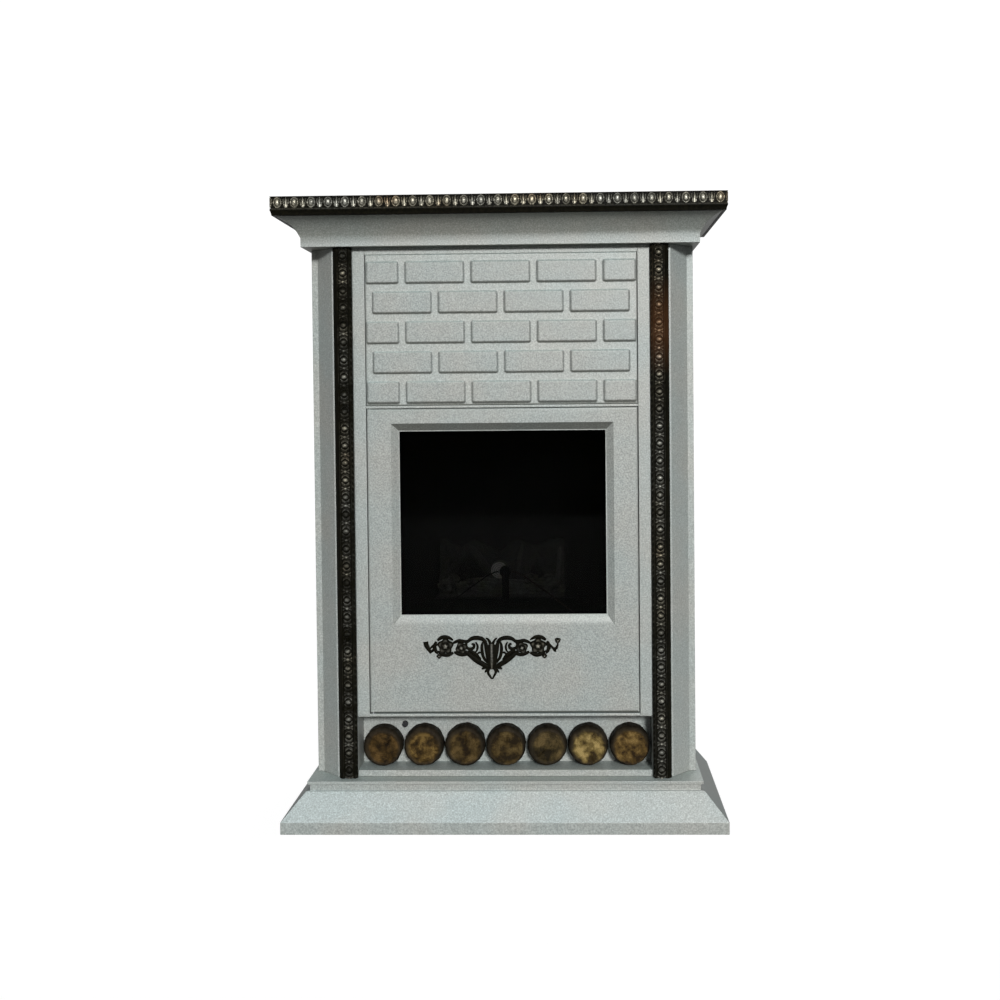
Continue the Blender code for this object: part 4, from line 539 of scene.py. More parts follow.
# Column mouldings: a plain outer band, then eggs between arcs with a bead between each pair
COLUMN_WIDTH = 0.031
OUTER_BAND = 0.0072
INNER_BAND = 0.0034
EGG_LINE = 0.0172
COLUMN_REACH = 0.014
COLUMN_EGGS = 31
COLUMN_STEPS = 22


def column_surface(count, length, inner_first, brightest, dullest):
    pitch = length / count

    def at(s, h):
        outer = COLUMN_WIDTH - h if inner_first else h
        inner = COLUMN_WIDTH - outer
        across = outer - EGG_LINE
        cell = s / pitch
        v = (cell - floor(cell) - 0.5) * pitch
        wear = dullest + (brightest - dullest) * wander(cell * 1.9 + count)
        if outer < OUTER_BAND:
            share = outer / OUTER_BAND
            return 0.0058 + 0.0046 * min(1.0, share * 1.6) + 0.0012 * ridge(share - 0.85, 0.14), 0.0
        if inner < INNER_BAND:
            tilt = ((s + abs(across) * 0.9) / (pitch / 3)) % 1.0 - 0.5
            groove = ridge(tilt * pitch / 3, 0.0022)
            return 0.0058 + 0.0042 * inner / INNER_BAND + groove * 0.0010, groove ** 3 * 0.10 * wear
        lip = ridge(min(outer - OUTER_BAND, inner - INNER_BAND) - 0.0008, 0.0010)
        egg = dome(hypot(across / 0.0060, v / 0.0043))
        reach = hypot(across / 0.0074, v / 0.0086)
        arc = ridge(reach - 0.90, 0.12) * (1.0 if abs(v) > 0.0032 else 0.25)
        outside = ridge(hypot(across / 0.0078, v / 0.0108) - 0.95, 0.07) * (abs(v) > 0.006)
        gap = pitch / 2 - abs(v)
        bead = dome(hypot(across / 0.0034, gap / 0.0024))
        wing = ridge(gap - 0.35 * abs(across), 0.0012) * (1.0 if 0.0034 < abs(across) < 0.0072 else 0.0)
        height = max(egg * 0.0036, arc * 0.0030, outside * 0.0018, bead * 0.0032, wing * 0.0018,
                     lip * 0.0024)
        rub = max(egg ** 4 * 0.75, arc ** 3 * 0.62, bead ** 3 * 0.85, wing ** 2 * 0.3, lip * 0.05,
                  outside * 0.15)
        return 0.0097 + height, rub * wear

    return at


def column_mouldings():
    widths = [COLUMN_WIDTH * step / 36 for step in range(37)]
    for side, inner_first, brightest, dullest in (("left", False, 0.75, 0.0), ("right", True, 1.0, 0.35)):
        low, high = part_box("column_trim_" + side)
        run = high.z - low.z
        surface = column_surface(COLUMN_EGGS, run, inner_first, brightest, dullest)
        relief("column_trim_" + side, run, COLUMN_EGGS * COLUMN_STEPS, widths, COLUMN_REACH, surface,
               lambda s, h, d: (low.x + h, high.y - d, low.z + s), (0, 0))


column_mouldings()


# Bricks pressed into the upper panel
BRICK_LENGTH = 0.099
BRICK_HEIGHT = 0.0365
BRICK_PITCH = 0.111
COURSE_PITCH = 0.0504
BRICK_TOP_MARGIN = 0.0121
BRICK_END_MARGIN = 0.0020
BRICK_RAISE = 0.0034
BRICK_CORNER = 0.0035
COURSES = 5
# From the bricks' crown back to the panel's face
PANEL_SETBACK = 0.0035


def brick_field(half, top):
    """Function that gives how far a point of the panel is inside the nearest brick, and how much the
    nearest edge of that brick lies in shade."""
    bricks = []
    limit = half - BRICK_END_MARGIN
    for course in range(COURSES):
        shift = 0.0 if course % 2 == 0 else BRICK_PITCH / 2
        upper = top - BRICK_TOP_MARGIN - course * COURSE_PITCH
        spans = []
        for index in range(-4, 4):
            middle = index * BRICK_PITCH + shift
            left = max(middle - BRICK_LENGTH / 2, -limit)
            right = min(middle + BRICK_LENGTH / 2, limit)
            if right - left > BRICK_LENGTH / 4:
                spans.append(((left + right) / 2, (right - left) / 2))
        bricks.append((upper - BRICK_HEIGHT / 2, spans))

    def inside(x, z):
        level, spans = min(bricks, key=lambda brick: abs(brick[0] - z))
        centre, reach = min(spans, key=lambda span: max(abs(x - span[0]) - span[1], 0.0))
        across = abs(x - centre) - reach + BRICK_CORNER
        up = abs(z - level) - BRICK_HEIGHT / 2 + BRICK_CORNER
        outside = hypot(max(across, 0.0), max(up, 0.0)) + min(max(across, up), 0.0) - BRICK_CORNER
        if up > across:
            return -outside, 0.0 if z > level else 1.0
        return -outside, 0.75

    return inside


def brick_panel():
    """The panel as a fine grid: rounded bricks, and edges that turn back."""
    low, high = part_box("brick_panel")
    face = low.y + PANEL_SETBACK
    inside = brick_field(high.x, high.z)
    turn = [(0.0, high.y - face), (0.0, 0.004), (0.0, 0.0018), (0.0006, 0.0006), (0.0018, 0.0)]

    def stations(start, end, count):
        inner = [(start + (end - start) * step / count, 0.0) for step in range(1, count)]
        return [(start + t, d) for t, d in turn] + inner[2:-2] + [(end - t, d) for t, d in turn[::-1]]

    form = Form("tone")
    rows = []
    for z, z_turn in stations(low.z, high.z, 212):
        row = []
        for x, x_turn in stations(low.x, high.x, 380):
            depth, shade = inside(x, z)
            share = clamp((depth + 0.0010) / 0.0032)
            rise = share * share * (3 - 2 * share)
            y = face + max(x_turn, z_turn) - rise * BRICK_RAISE
            # Tone: painted shade on the lower and side edges of each brick, and a slightly darker brick face
            flat = 0.26 * clamp((depth - 0.001) / 0.002)
            tone = max(flat, 0.9 * shade * dome(abs(depth + 0.0002) / 0.0016))
            row.append(form.vertex((x, y, z), tone))
        rows.append(row)
    form.skin(rows)
    made = form.finish("brick_pattern_panel", PAINT, "cabinet", ("brick_panel",), 80)
    modify(made, "sheet", "SOLIDIFY", thickness=0.0012, offset=-1)


brick_panel()


# Scroll applique on the window panel
panel_low, panel_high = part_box("scroll_applique")
ORNAMENT = Vector(((panel_low.x + panel_high.x) / 2, panel_high.y, panel_low.z + 0.0485))


def smooth_route(points, steps):
    """A smooth curve through the points."""
    knots = [Vector(point) for point in points]
    knots = [2 * knots[0] - knots[1]] + knots + [2 * knots[-1] - knots[-2]]
    route = []
    for a, b, c, d in zip(knots, knots[1:], knots[2:], knots[3:]):
        for step in range(steps):
            t = step / steps
            route.append((2 * b + (c - a) * t + (2 * a - 5 * b + 4 * c - d) * t**2
                          + (3 * b - a - 3 * c + d) * t**3) / 2)
    return route + [knots[-2]]


def heading(route, index):
    """Direction of a route at one of its points."""
    return (route[min(index + 1, len(route) - 1)] - route[max(index - 1, 0)]).normalized()


def cast_point(form, across, up, lift, rub):
    """A vertex of the casting, in millimetres from the middle of its back, and how far it is rubbed."""
    place = (ORNAMENT.x + across / 1000, ORNAMENT.y - lift / 1000, ORNAMENT.z + up / 1000)
    return form.vertex(place, rub)


def leaf(form, points, width, height, taper=(0.5, 0.25), ridges=1):
    """A leaf or scroll that follows a route, in millimetres across and up from the casting's middle."""
    route = smooth_route([(x, y, 0.0) for x, y in points], 7)
    sides = 10
    rings = []
    for index, point in enumerate(route):
        along = heading(route, index)
        across = Vector((-along.y, along.x, 0))
        share = index / (len(route) - 1)
        swell = taper[0] * (1 - share) + taper[1] * share
        swell += (1 - max(taper)) * sin(pi * share) ** 0.8
        ring = []
        for step in range(sides + 1):
            angle = pi * step / sides
            lift = sin(angle) * (0.82 + 0.18 * cos(ridges * 2 * angle))
            spot = point + across * cos(angle) * width * swell
            rub = max(0.0, lift - 0.72) * 1.6
            ring.append(cast_point(form, spot.x, spot.y, lift * height * (0.6 + 0.4 * swell), rub))
        rings.append(ring)
    form.skin(rings)
    form.caps(rings)


def flower(form, middle, radius, height, petals, turn=0.0):
    """A rosette with rounded petals about a bead."""

    def at(share, angle):
        wave = 0.5 - 0.5 * cos(petals * (angle - turn))
        reach = radius * share * (1 - 0.22 * wave)
        profile = sin(pi * min(1.0, (1 - share) * 1.5)) ** 0.6 * 0.8 if share > 0.34 else 0.62
        bead = 0.42 * dome(share / 0.30) if share < 0.30 else 0.0
        lift = clamp(profile * (1 - 0.16 * wave * share) + bead) if share < 1 else 0.0
        return cast_point(form, middle[0] + reach * cos(angle), middle[1] + reach * sin(angle),
                          lift * height, max(0.0, lift - 0.7) * 1.5)

    levels = 7
    rings = [[at(1 - level / levels, angle) for angle in angles(petals * 8, turn)] for level in range(levels)]
    form.skin(rings, True)
    form.fan(rings[-1], at(0.0, turn))


def applique():
    form = Form("rub")
    for sign in (-1, 1):
        def ribbon(points, *shape):
            leaf(form, [(sign * x, y) for x, y in points], *shape)

        def rosette(x, y, *shape):
            flower(form, (sign * x, y), *shape)

        if sign < 0:
            ribbon(((103, -4), (107, 3), (111, 10), (112, 16)), 5.2, 5.0, (0.35, 0.8))
            ribbon(((96, 4), (101, 0), (104, -3)), 2.6, 4.2)
        else:
            ribbon(((102, 5), (108, 3), (111, 7), (112, 13)), 2.8, 4.6)
            rosette(112, 17, 5.6, 5.4, 3, 0.5)
            ribbon(((103, 6), (106, 1), (109, -2)), 2.6, 4.2)
        ribbon(((91, 11), (98, 9), (105, 4)), 3.0, 4.6)
        ribbon(((94, 16), (97, 8), (95, 0), (92, -5)), 3.8, 5.0)
        rosette(89.5, -9, 4.8, 4.8, 4)
        ribbon(((92, 18), (84, 23), (74, 23), (65, 18)), 3.8, 5.0)
        ribbon(((65, -3), (74, -7), (84, -6), (92, 0)), 3.8, 5.0)
        rosette(78.5, 8, 14.6, 6.9, 5, 0.3)
        rosette(51.5, 5, 10.8, 6.2, 4, 0.4)
        ribbon(((66, 13), (56, 17), (46, 16), (37, 18)), 3.5, 5.0)
        ribbon(((64, -2), (54, -6), (44, -6), (37, -3)), 3.7, 4.8)
        ribbon(((9, 14), (16, 20), (26, 22), (35, 20), (42, 14)), 3.9, 5.8, (0.6, 0.5))
        ribbon(((43, 15), (43, 7), (37, 3), (31, 5), (30, 10), (34, 12)), 2.9, 5.4, (0.7, 0.6))
        ribbon(((45, -1), (36, -8), (26, -16), (15, -23), (5, -28)), 5.0, 5.6, (0.5, 0.6))
        ribbon(((40, 1), (31, -3), (24, -9), (18, -15)), 3.4, 5.0)
        ribbon(((8, -20), (14, -11), (16.5, 1), (16, 11), (12, 18)), 3.2, 5.4)
        ribbon(((27, 15), (24, 8), (25, 1), (29, -4)), 2.3, 4.6)
        ribbon(((25, -6), (21, -3), (17, -4)), 2.0, 4.0)
        ribbon(((3, 11), (5, 18), (10, 22)), 2.4, 5.0)
        ribbon(((1, 9), (2, 14), (4.5, 19)), 2.0, 4.6)
        ribbon(((3, -23), (10, -27), (17, -31)), 4.0, 5.0, (0.6, 0.3))
        ribbon(((2, -27), (8, -32), (12, -37)), 2.8, 4.6, (0.6, 0.3))
        ribbon(((1.5, -27), (6.6, -36), (0.6, -48)), 2.7, 5.0, (0.7, 0.45))
        ribbon(((4, -28), (5, -12), (8, 3), (11, 15)), 5.2, 6.4, (0.6, 0.45))
        ribbon(((2, -18), (3, -2), (4, 11)), 3.8, 6.8, (0.5, 0.4))
    leaf(form, [(0, 12), (0, -4), (0, -18), (0, -31)], 5.4, 6.9, (0.7, 0.45), 2)
    form.outward()
    form.finish("scroll_ornament", BRONZE, "door", ("scroll_applique",), 55)


applique()


# Log ends, each with a dark tone, a light one and that of its heart
LOG_TONES = (
    ((0.012, 0.00696, 0.0021), (0.0539, 0.03128, 0.0087), (0.1105, 0.0638, 0.01976)),
    ((0.0132, 0.00812, 0.00252), (0.0588, 0.03496, 0.00928), (0.169, 0.10672, 0.03192)),
    ((0.0156, 0.00928, 0.00336), (0.05684, 0.0368, 0.0116), (0.1105, 0.07192, 0.02584)),
    ((0.018, 0.0116, 0.0042), (0.06468, 0.04232, 0.01392), (0.117, 0.0812, 0.0304)),
    ((0.0144, 0.01044, 0.0042), (0.049, 0.03496, 0.01276), (0.117, 0.0812, 0.03192)),
    ((0.036, 0.0232, 0.0084), (0.1764, 0.1242, 0.0406), (0.39, 0.2842, 0.1064)),
    ((0.027, 0.01508, 0.00504), (0.1176, 0.07176, 0.02088), (0.26, 0.1682, 0.057)),
)
LOG_SIDES = 96


def log(number, tones):
    """A log end with ridged bark, a rounded saw edge and an uneven sawn face."""
    low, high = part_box(f"log_{number}")
    centre = Vector(((low.x + high.x) / 2, (low.y + high.y) / 2, (low.z + high.z) / 2))
    radius = min(high.x - low.x, high.z - low.z) / 2
    length = high.y - low.y
    chance = random.Random(number)
    turn = chance.uniform(0, 6.28)
    rind = chance.uniform(0.16, 0.23)
    offset = Vector((chance.uniform(0.01, 0.07), 0.0, chance.uniform(-0.07, -0.01))) * radius
    inner = 1 - rind
    # Share of the radius, share of the length from the sawn face, and how far it is bark
    profile = [(0.96, 1.0, 1.0), (0.99, 0.93, 1.0)]
    profile += [(1.0, 0.86 - 0.54 * step / 9, 1.0) for step in range(10)]
    profile += [(0.995, 0.24, 1.0), (0.98, 0.17, 1.0), (0.955, 0.11, 1.0), (0.92, 0.065, 1.0),
                (0.88, 0.035, 0.9)]
    profile += [(inner + 0.02, 0.020, 0.70), (inner - 0.03, 0.012, 0.30), (inner - 0.10, 0.004, 0.0)]
    profile += [((inner - 0.10) * (1 - step / 9), 0.0, 0.0) for step in range(1, 9)]
    form = Form("bark")

    def at(angle, share, depth, bark):
        across, up = cos(angle), sin(angle)
        rough = noise.noise(Vector((across, depth * 0.7, up)) * 3.2 + Vector((number * 7.7, 0, 0))) * 0.030
        fine = uneven(across * 9, depth * 5, up * 9 + number) * 0.014
        reach = radius * share * (1.0 - 0.006 + (rough + fine) * (1.0 if bark else share))
        y = low.y + length * depth
        if depth < 0.02:
            flat = uneven(across * share * 2.2, number * 3.3, up * share * 2.2)
            check = ridge(sin((angle - turn) / 2), 0.03) * 0.0016 * (0.15 < share < inner)
            y += flat * 0.0012 + 0.0016 + check
        spot = Vector((centre.x + reach * across, y, centre.z + reach * up))
        if depth < 0.05:
            spot += offset * min((1 - share) / rind, 1.0)
        return form.vertex(spot, bark)

    rings = [[at(angle, *row) for angle in angles(LOG_SIDES)] for row in profile]
    form.skin(rings, True)
    form.face(rings[0])
    form.fan(rings[-1], form.vertex(Vector((centre.x, low.y + 0.0016, centre.z)) + offset))
    form.outward()
    wood = sawn_wood(f"sawn_log_{number}", number, *tones)
    form.finish(f"log_end_{number}", wood, "cabinet", (f"log_{number}",), 60, centre)


for number, tones in enumerate(LOG_TONES, 1):
    log(number, tones)


# Ceramic logs on the burner
BED_LEFT, BED_RIGHT = -0.120, 0.102
BED_REAR = 0.034
# Places along the rear log's top, in x and z
BED_CREST = ((-0.120, 0.468), (-0.112, 0.469), (-0.084, 0.453), (-0.057, 0.4687), (-0.0124, 0.445),
             (0.0147, 0.468), (0.028, 0.466), (0.050, 0.4555), (0.086, 0.4705), (0.102, 0.469))
# Middle, apex and the falls to the left and right of each arch
BED_ARCHES = ((-0.0645, 0.4496, 0.94, 1.27), (0.0530, 0.4410, 1.30, 1.45))
# Route and radius, in millimetres, and paleness of the branches along the arches and of the upright twigs
BRANCHES = (
    (((-108, -12, 402), (-90, -10, 425), (-66, -4, 456)), 7.5, 0.10),
    (((-68, -6, 458), (-48, -10, 436), (-28, -16, 408)), 8.0, 0.12),
    (((26, -18, 402), (38, -12, 424), (54, -4, 447)), 7.0, 0.12),
    (((52, -6, 447), (66, -10, 424), (78, -16, 402)), 7.0, 0.10),
    (((20.5, -12, 398), (21.5, -10, 430), (29, -4, 462)), 3.4, 0.22),
    (((88, -18, 380), (91.5, -14, 412), (96, -6, 458)), 4.0, 0.26),
    (((-116, -12, 380), (-113, -12, 410), (-106, -4, 440)), 6.0, 0.16),
)
# Left end, right end, level and drop of the thin branches lying across the front, in millimetres
TWIGS = ((-54, 34, 403, 5), (-58, 44, 396.5, 6), (-52, 48, 390.5, 5), (-60, 40, 385, 3), (-50, 52, 379.5, 2))
# Place and size, in millimetres, and paleness of the embers and stones
EMBERS = (
    (-104, -26, 388, 17, 0.26), (-80, -30, 384, 16, 0.30), (-62, -24, 392, 13, 0.22),
    (-94, -20, 402, 10, 0.20), (60, -26, 390, 16, 0.30), (80, -28, 386, 17, 0.28), (74, -20, 402, 10, 0.30),
    (94, -22, 384, 10, 0.24), (44, -24, 402, 11, 0.24), (-30, -18, 394, 16, 0.10), (10, -16, 394, 18, 0.10),
)
END_LOG = Vector((-0.0121, 0.0, 0.4190))
END_LOG_SIDES = 48


def crest(x):
    """Height of the rear log's uneven top."""
    for (left, low), (right, high) in zip(BED_CREST, BED_CREST[1:]):
        if x <= right:
            break
    share = clamp((x - left) / (right - left))
    return low + (high - low) * share + 0.002 * uneven(x * 160, 1.7, 0.3)


def rear_log(form, base):
    """The log at the back with its two arched gaps."""
    columns, levels = 110, 44
    front, rear = [], []
    for column in range(columns + 1):
        x = BED_LEFT + (BED_RIGHT - BED_LEFT) * column / columns
        top = crest(x)
        wall = []
        for level in range(levels + 1):
            z = base + (top - base) * level / levels
            recess = 0.0
            for middle, apex, left, right in BED_ARCHES:
                under = apex - (left if x < middle else right) * abs(x - middle) - z
                recess = max(recess, clamp(under / 0.005))
            bark = 0.0030 * uneven(x * 90, 3.1, z * 45)
            bark += 0.0014 * uneven(x * 260, 0, z * 90)
            y = 0.002 + bark + 0.020 * recess + 0.006 * max(0.0, level / levels - 0.85) / 0.15
            wall.append(form.vertex((x, y, z), 0.05 * (1 - recess) + 0.05 * max(0.0, bark / 0.003)))
        front.append(wall)
        rear.append([wall[0], form.vertex((x, BED_REAR, base)), form.vertex((x, BED_REAR, top)), wall[-1]])
    form.skin(front)
    form.skin(rear)
    for wall, back in ((front[0], rear[0]), (front[-1], rear[-1])):
        form.face(wall + back[1:3][::-1])


def branch(form, points, width, pale, seed, sides=16):
    """A knotty log or twig along a route, thinner to its ends."""
    route = smooth_route(points, 10)
    rings = []
    for index, point in enumerate(route):
        along = heading(route, index)
        side = along.cross(Vector((0, 1, 0))).normalized()
        out = side.cross(along)
        share = index / (len(route) - 1)
        swell = min(1.0, 0.62 + 3.0 * min(share, 1 - share))
        ring = []
        for angle in angles(sides):
            way = side * cos(angle) + out * sin(angle)
            knots = 0.16 * noise.noise(way * 1.6 + point * 60 + Vector((seed, 0, 0)))
            spot = Vector((cos(angle) * 4, sin(angle) * 4, point.x * 70 + seed))
            grooves = 0.10 * noise.noise(spot)
            # Paler where the branch bulges out on knots and grooves
            lightness = max(0.0, pale * (0.7 + 4.0 * grooves + 1.2 * knots))
            ring.append(form.vertex(point + way * width * swell * (1 + knots + grooves), lightness))
        rings.append(ring)
    form.skin(rings, True)
    form.caps(rings)


def lump(form, middle, radii, pale, seed, base):
    """A chunk of ember or stone."""
    for vert in bmesh.ops.create_icosphere(form.bm, subdivisions=4, radius=1.0)["verts"]:
        way = vert.co.copy()
        rough = 0.30 * noise.noise(way * 1.7 + Vector((seed, 0, 0)))
        rough += 0.14 * noise.noise(way * 6 + Vector((0, seed, 0)))
        vert.co = Vector(middle) + Vector([part * radius * (1 + rough) for part, radius in zip(way, radii)])
        vert.co.z = max(vert.co.z, base)
        vert[form.layer] = max(0.0, pale * (0.6 + 3.0 * rough))


def end_on_log(form):
    """The log laid end on, its rings cut by the saw."""
    profile = [(0.0145, 0.000, 0.20)] + [(0.0145, -0.006 * step, 0.22) for step in range(1, 6)]
    profile += [(0.0142, -0.0365, 0.45)]
    for step in range(24):
        raised = step % 6 < 3
        profile.append((0.0138 * (1 - step / 24), -0.0372 + 0.0006 * raised, 1.0 if raised else 0.55))

    def at(angle, reach, y, pale):
        across, up = cos(angle), sin(angle)
        wobble = 1 + 0.07 * uneven(across * 1.5, y * 30, up * 1.5)
        return form.vertex(END_LOG + Vector((reach * wobble * across, y, reach * wobble * up)), pale)

    rings = [[at(angle, *row) for angle in angles(END_LOG_SIDES)] for row in profile]
    form.skin(rings, True)
    form.caps(rings)


def ember_bed(form, front, base):
    """The uneven bed under it all, with edges down to the burner."""
    rows, columns = 24, 66
    deep = []
    for row in range(rows + 1):
        y = front + (BED_REAR - front) * row / rows
        line = []
        for column in range(columns + 1):
            x = BED_LEFT + (BED_RIGHT - BED_LEFT) * column / columns
            rise = 0.001
            if 0 < row < rows and 0 < column < columns:
                rise = 0.0050 + 0.0030 * uneven(x * 110, y * 110, 0.4)
            line.append(form.vertex((x, y, base + rise), 0.12))
        deep.append(line)
    form.skin(deep)
    edge = deep[0] + [line[-1] for line in deep[1:]] + deep[-1][-2::-1] + [line[0] for line in deep[-2:0:-1]]
    under = [form.vertex((vert.co.x, vert.co.y, base)) for vert in edge]
    form.skin((edge, under), True)
    form.face(under)


def metres(row):
    return tuple(part / 1000 for part in row)


def fire_bed():
    """A rear log with two arched gaps, branches along the arches, a log laid end on, and embers."""
    low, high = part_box("ceramic_fire_bed")
    form = Form("pale")
    rear_log(form, low.z)
    for seed, (route, width, pale) in enumerate(BRANCHES, 1):
        branch(form, [metres(point) for point in route], width / 1000, pale, seed)
    for seed, row in enumerate(TWIGS):
        left, right, level, drop = metres(row)
        middle = (left + right) / 2
        route = [(left, -0.030, level), (middle, -0.038, level - 0.3 * drop), (right, -0.030, level - drop)]
        branch(form, route, 0.0034, 0.34, seed * 3 + 11, 12)
    for seed, (*row, pale) in enumerate(EMBERS):
        *place, size = metres(row)
        lump(form, place, (size, size * 0.75, size * 0.85), pale, seed * 2.3 + 0.7, low.z)
    end_on_log(form)
    ember_bed(form, low.y, low.z)
    form.outward()
    form.finish("ceramic_log_set", CERAMIC, "cabinet", ("ceramic_fire_bed",), 60)


fire_bed()


# Fasteners, pressed rims and fittings
def turned(form, centre, axis, profile, sides=24):
    """A turned form about an axis: rings of (radius, height along the axis)."""
    axis = Vector(axis).normalized()
    side = axis.orthogonal().normalized()
    up = axis.cross(side)
    rings = []
    for radius, height in profile:
        ways = [side * cos(angle) + up * sin(angle) for angle in angles(sides)]
        rings.append([form.vertex(Vector(centre) + way * radius + axis * height) for way in ways])
    form.skin(rings, True)
    return rings


def screw(form, centre, radius):
    """A pan-head screw with a socket in its head, facing the rear."""
    shares = ((1.0, 0.0), (1.0, 0.25), (0.86, 0.50), (0.55, 0.62), (0.40, 0.62), (0.34, 0.25))
    rings = turned(form, centre, REARWARD, [(radius * share, radius * rise) for share, rise in shares])
    form.face(rings[0][::-1])
    form.face(rings[-1])


def flat_ring(form, centre, inner, outer, height):
    """A flat ring with rounded edges, facing the rear."""
    profile = [(inner, 0.0), (inner, height * 0.7), (inner + height * 0.3, height),
               (outer - height * 0.3, height), (outer, height * 0.7), (outer, 0.0)]
    rings = turned(form, centre, REARWARD, profile, 64)
    form.skin((rings[-1], rings[0]), True)


def fittings(name, body, material, build):
    form = Form()
    build(form)
    form.outward()
    form.finish(name, material, body)


REARWARD = (0, 1, 0)
COVER_LOW, COVER_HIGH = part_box("rear_cover")
COLLAR_LOW, COLLAR_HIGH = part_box("flue_collar")
COLLAR = Vector((0.0, COVER_HIGH.y + 0.0002, (COLLAR_LOW.z + COLLAR_HIGH.z) / 2))
COLLAR_RADIUS = 0.050
FLANGE_WIDTH = 0.024
FLANGE_THICK = 0.0014
COVER_SCREW = 0.0042
SMALL_SCREW = 0.0032
VENT_LEVELS = (0.150, 0.600)
VENT_COUNT = 10
VENT_PITCH = 0.046
VENT_HALF_WIDTH = 0.004
VENT_HALF_HEIGHT = 0.0225


def cover_screws(form):
    for sign in (-1, 1):
        for level in range(6):
            z = COVER_LOW.z + 0.03 + (COVER_HIGH.z - COVER_LOW.z - 0.06) * level / 5
            screw(form, (sign * (COVER_HIGH.x - 0.009), COLLAR.y, z), COVER_SCREW)
    for z in (COVER_LOW.z + 0.010, COVER_HIGH.z - 0.012):
        for x in (-0.16, 0.0, 0.16):
            screw(form, (x, COLLAR.y, z), COVER_SCREW)
    reach = COLLAR_RADIUS + 0.016
    for angle in angles(4, pi / 4):
        place = COLLAR + Vector((reach * cos(angle), FLANGE_THICK, reach * sin(angle)))
        screw(form, place, SMALL_SCREW)


def collar_flange(form):
    flat_ring(form, COLLAR, COLLAR_RADIUS + 0.0006, COLLAR_RADIUS + FLANGE_WIDTH, FLANGE_THICK)


def vent_rims(form):
    """A pressed rim round each vent."""
    for level in VENT_LEVELS:
        for index in range(VENT_COUNT):
            x = (index - (VENT_COUNT - 1) / 2) * VENT_PITCH
            loops = []
            for grow, rise in ((0.0002, 0.0), (0.0004, 0.0010), (0.0018, 0.0012), (0.0034, 0.0)):
                loop = []
                for angle in angles(24, pi / 24):
                    across = max(-1.0, min(1.0, 1.35 * cos(angle))) * (VENT_HALF_WIDTH + grow)
                    up = max(-1.0, min(1.0, 1.35 * sin(angle))) * (VENT_HALF_HEIGHT + grow)
                    loop.append(form.vertex((x + across, COLLAR.y + rise, level + up)))
                loops.append(loop)
            form.skin(loops + loops[:1], True)


def retainer_screws(form):
    for name in ("glass_retainer_upper", "glass_retainer_lower"):
        low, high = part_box(name)
        z = high.z - 0.006 if name.endswith("upper") else low.z + 0.006
        for step in range(4):
            x = low.x + 0.02 + (high.x - low.x - 0.04) * step / 3
            screw(form, (x, high.y + 0.0001, z), SMALL_SCREW)


fittings("rear_cover_screws", "cabinet", ZINC, cover_screws)
fittings("flue_collar_flange", "cabinet", ZINC, collar_flange)
fittings("vent_rims", "cabinet", PAINT, vent_rims)
fittings("glass_retainer_screws", "door", ZINC, retainer_screws)


KNOB_SIDES = 144
FLUTES = 18
SKIRT_TOP = 0.0060


def knob():
    """A fluted grip with a pointer ridge."""
    low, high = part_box("control_knob")
    centre = Vector(((low.x + high.x) / 2, high.y, (low.z + high.z) / 2))
    depth = high.y - low.y - 0.002
    profile = [(0.0034, 0.0098), (0.0034, 0.0), (0.0200, 0.0), (0.0200, 0.0026), (0.0186, 0.0044),
               (0.0180, SKIRT_TOP)]
    profile += [(0.0178 - 0.0004 * step, SKIRT_TOP + (depth - 0.0085) * step / 6) for step in range(1, 7)]
    profile += [(0.0146, depth - 0.0008), (0.0132, depth), (0.0060, depth), (0.0004, depth)]
    form = Form()

    def at(angle, radius, height):
        fluted = SKIRT_TOP + 0.0001 < height < depth - 0.0005
        reach = radius - 0.0009 * (0.5 - 0.5 * cos(angle * FLUTES)) * fluted
        across, up = reach * cos(angle), reach * sin(angle)
        pointer = height >= depth - 0.001 and abs(across) < 0.0016 and up > 0
        return form.vertex(centre + Vector((across, -(height + 0.0014 * pointer), up)))

    rings = [[at(angle, *row) for angle in angles(KNOB_SIDES)] for row in profile]
    form.skin(rings, True)
    form.face(rings[0])
    form.face(rings[-1])
    form.outward()
    form.finish("fluted_knob", PLASTIC, "knob", ("control_knob",), 35, centre)


knob()


# Floor, backdrop and light
FLOOR_GLOW = 0.93
# Share of the floor's white that shows in reflections
FLOOR_MIRRORED = 0.45


def studio_white():
    made = Surface("studio_white", roughness=0.9, specular=0.1)
    rays = made.add("ShaderNodeLightPath").outputs
    mirrored = made.math("MULTIPLY", rays["Is Glossy Ray"], FLOOR_MIRRORED)
    glow = made.math("MULTIPLY", made.math("MAXIMUM", rays["Is Camera Ray"], mirrored), FLOOR_GLOW)
    made.shade({"Base Color": (0.12,) * 3, "Emission Color": (1.0,) * 3, "Emission Strength": glow})
    return made.material


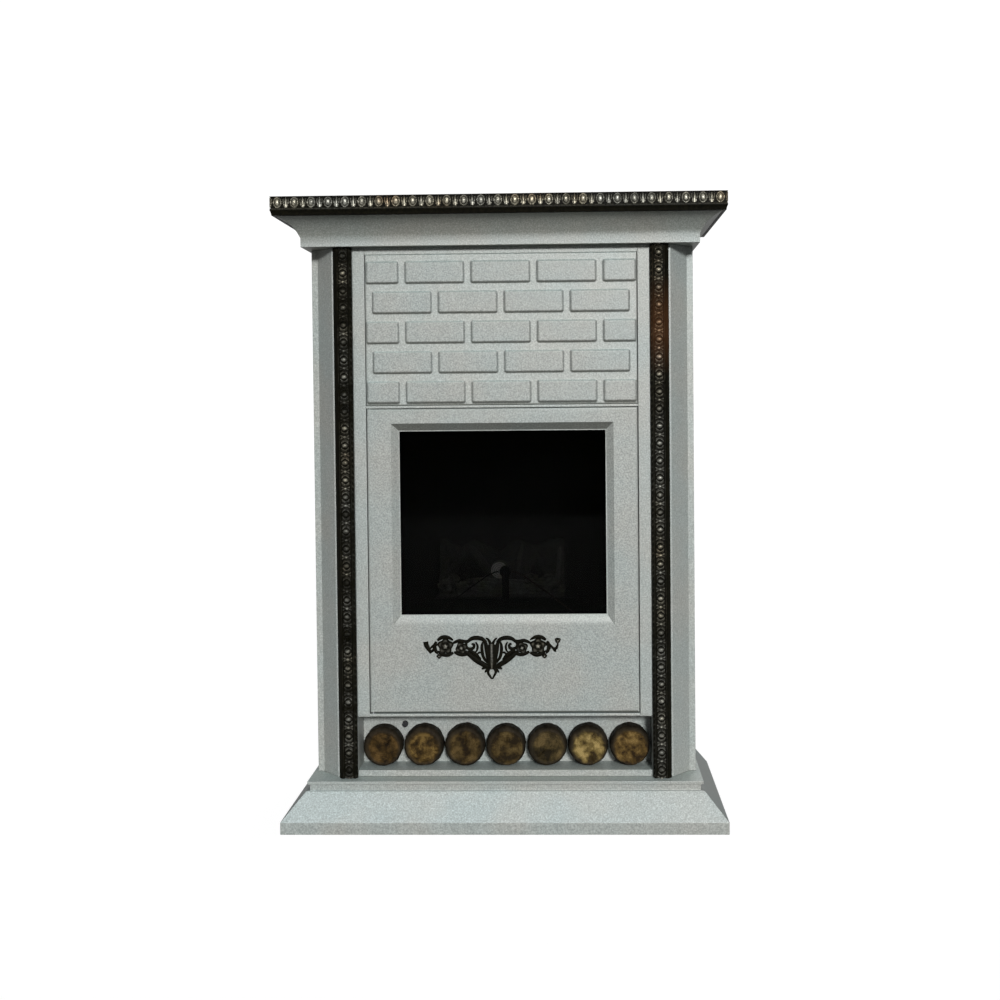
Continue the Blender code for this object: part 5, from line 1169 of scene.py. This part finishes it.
def stage():
    profile = [(-6.0, 0.0), (3.0, 0.0)]
    for step in range(1, 13):
        angle = pi / 2 * step / 12
        profile.append((3.0 + 2.0 * sin(angle), 2.0 - 2.0 * cos(angle)))
    profile.append((5.0, 7.0))
    form = Form()
    left, right = [[form.vertex((x, y, z)) for y, z in profile] for x in (-9.0, 9.0)]
    form.skin([list(pair) for pair in zip(left, right)])
    floor = bpy.data.objects.new("studio_floor", form.mesh("studio_floor", studio_white()))
    scene.collection.objects.link(floor)


def light_world():
    """A soft sky, brighter overhead, and white where the camera looks past the floor."""
    world = bpy.data.worlds.new("studio")
    scene.world = world
    world.use_nodes = True
    sky = Nodes(world.node_tree, "Background")
    way = sky.add("ShaderNodeTexCoord").outputs["Generated"]
    up = sky.add("ShaderNodeSeparateXYZ", {"Vector": way}).outputs["Z"]
    seen = sky.add("ShaderNodeLightPath").outputs["Is Camera Ray"]
    strength = sky.math("MAXIMUM", sky.scaled(up, 0.05, 0.50, -0.1, 1.0), seen)
    sky.feed(sky.shader, {"Color": (1.0, 1.0, 1.0), "Strength": strength})


stage()
light_world()


def lamp(name, kind, place, target, power, size):
    light = bpy.data.lights.new(name, kind)
    light.energy = power
    if kind == "SUN":
        light.angle = size
    else:
        light.size = size
    made = bpy.data.objects.new(name, light)
    made.location = place
    made.rotation_euler = (Vector(target) - Vector(place)).to_track_quat("-Z", "Y").to_euler()
    scene.collection.objects.link(made)


lamp("key", "SUN", (0.55, -3.0, 1.46), (0.0, 0.0, 0.50), 2.64, radians(9))
lamp("rim", "AREA", (1.2, 2.6, 2.6), (0.0, 0.0, 0.6), 30, 1.8)

# Camera, as in the photograph
YAW, PITCH, ROLL = 0.0279, 0.0287, 0.0093
lens = bpy.data.cameras.new("photo")
lens.sensor_width = 36
lens.lens = 47.97
lens.shift_x = -0.0352
lens.shift_y = -0.0623
camera = bpy.data.objects.new("photo", lens)
camera.matrix_world = (
    Matrix.Translation((0.1187, -2.3721, 0.7189))
    @ Matrix.Rotation(YAW, 4, "Z")
    @ Matrix.Rotation(pi / 2 - PITCH, 4, "X")
    @ Matrix.Rotation(-ROLL, 4, "Z")
)
scene.collection.objects.link(camera)
scene.camera = camera
scene.view_settings.view_transform = "Standard"
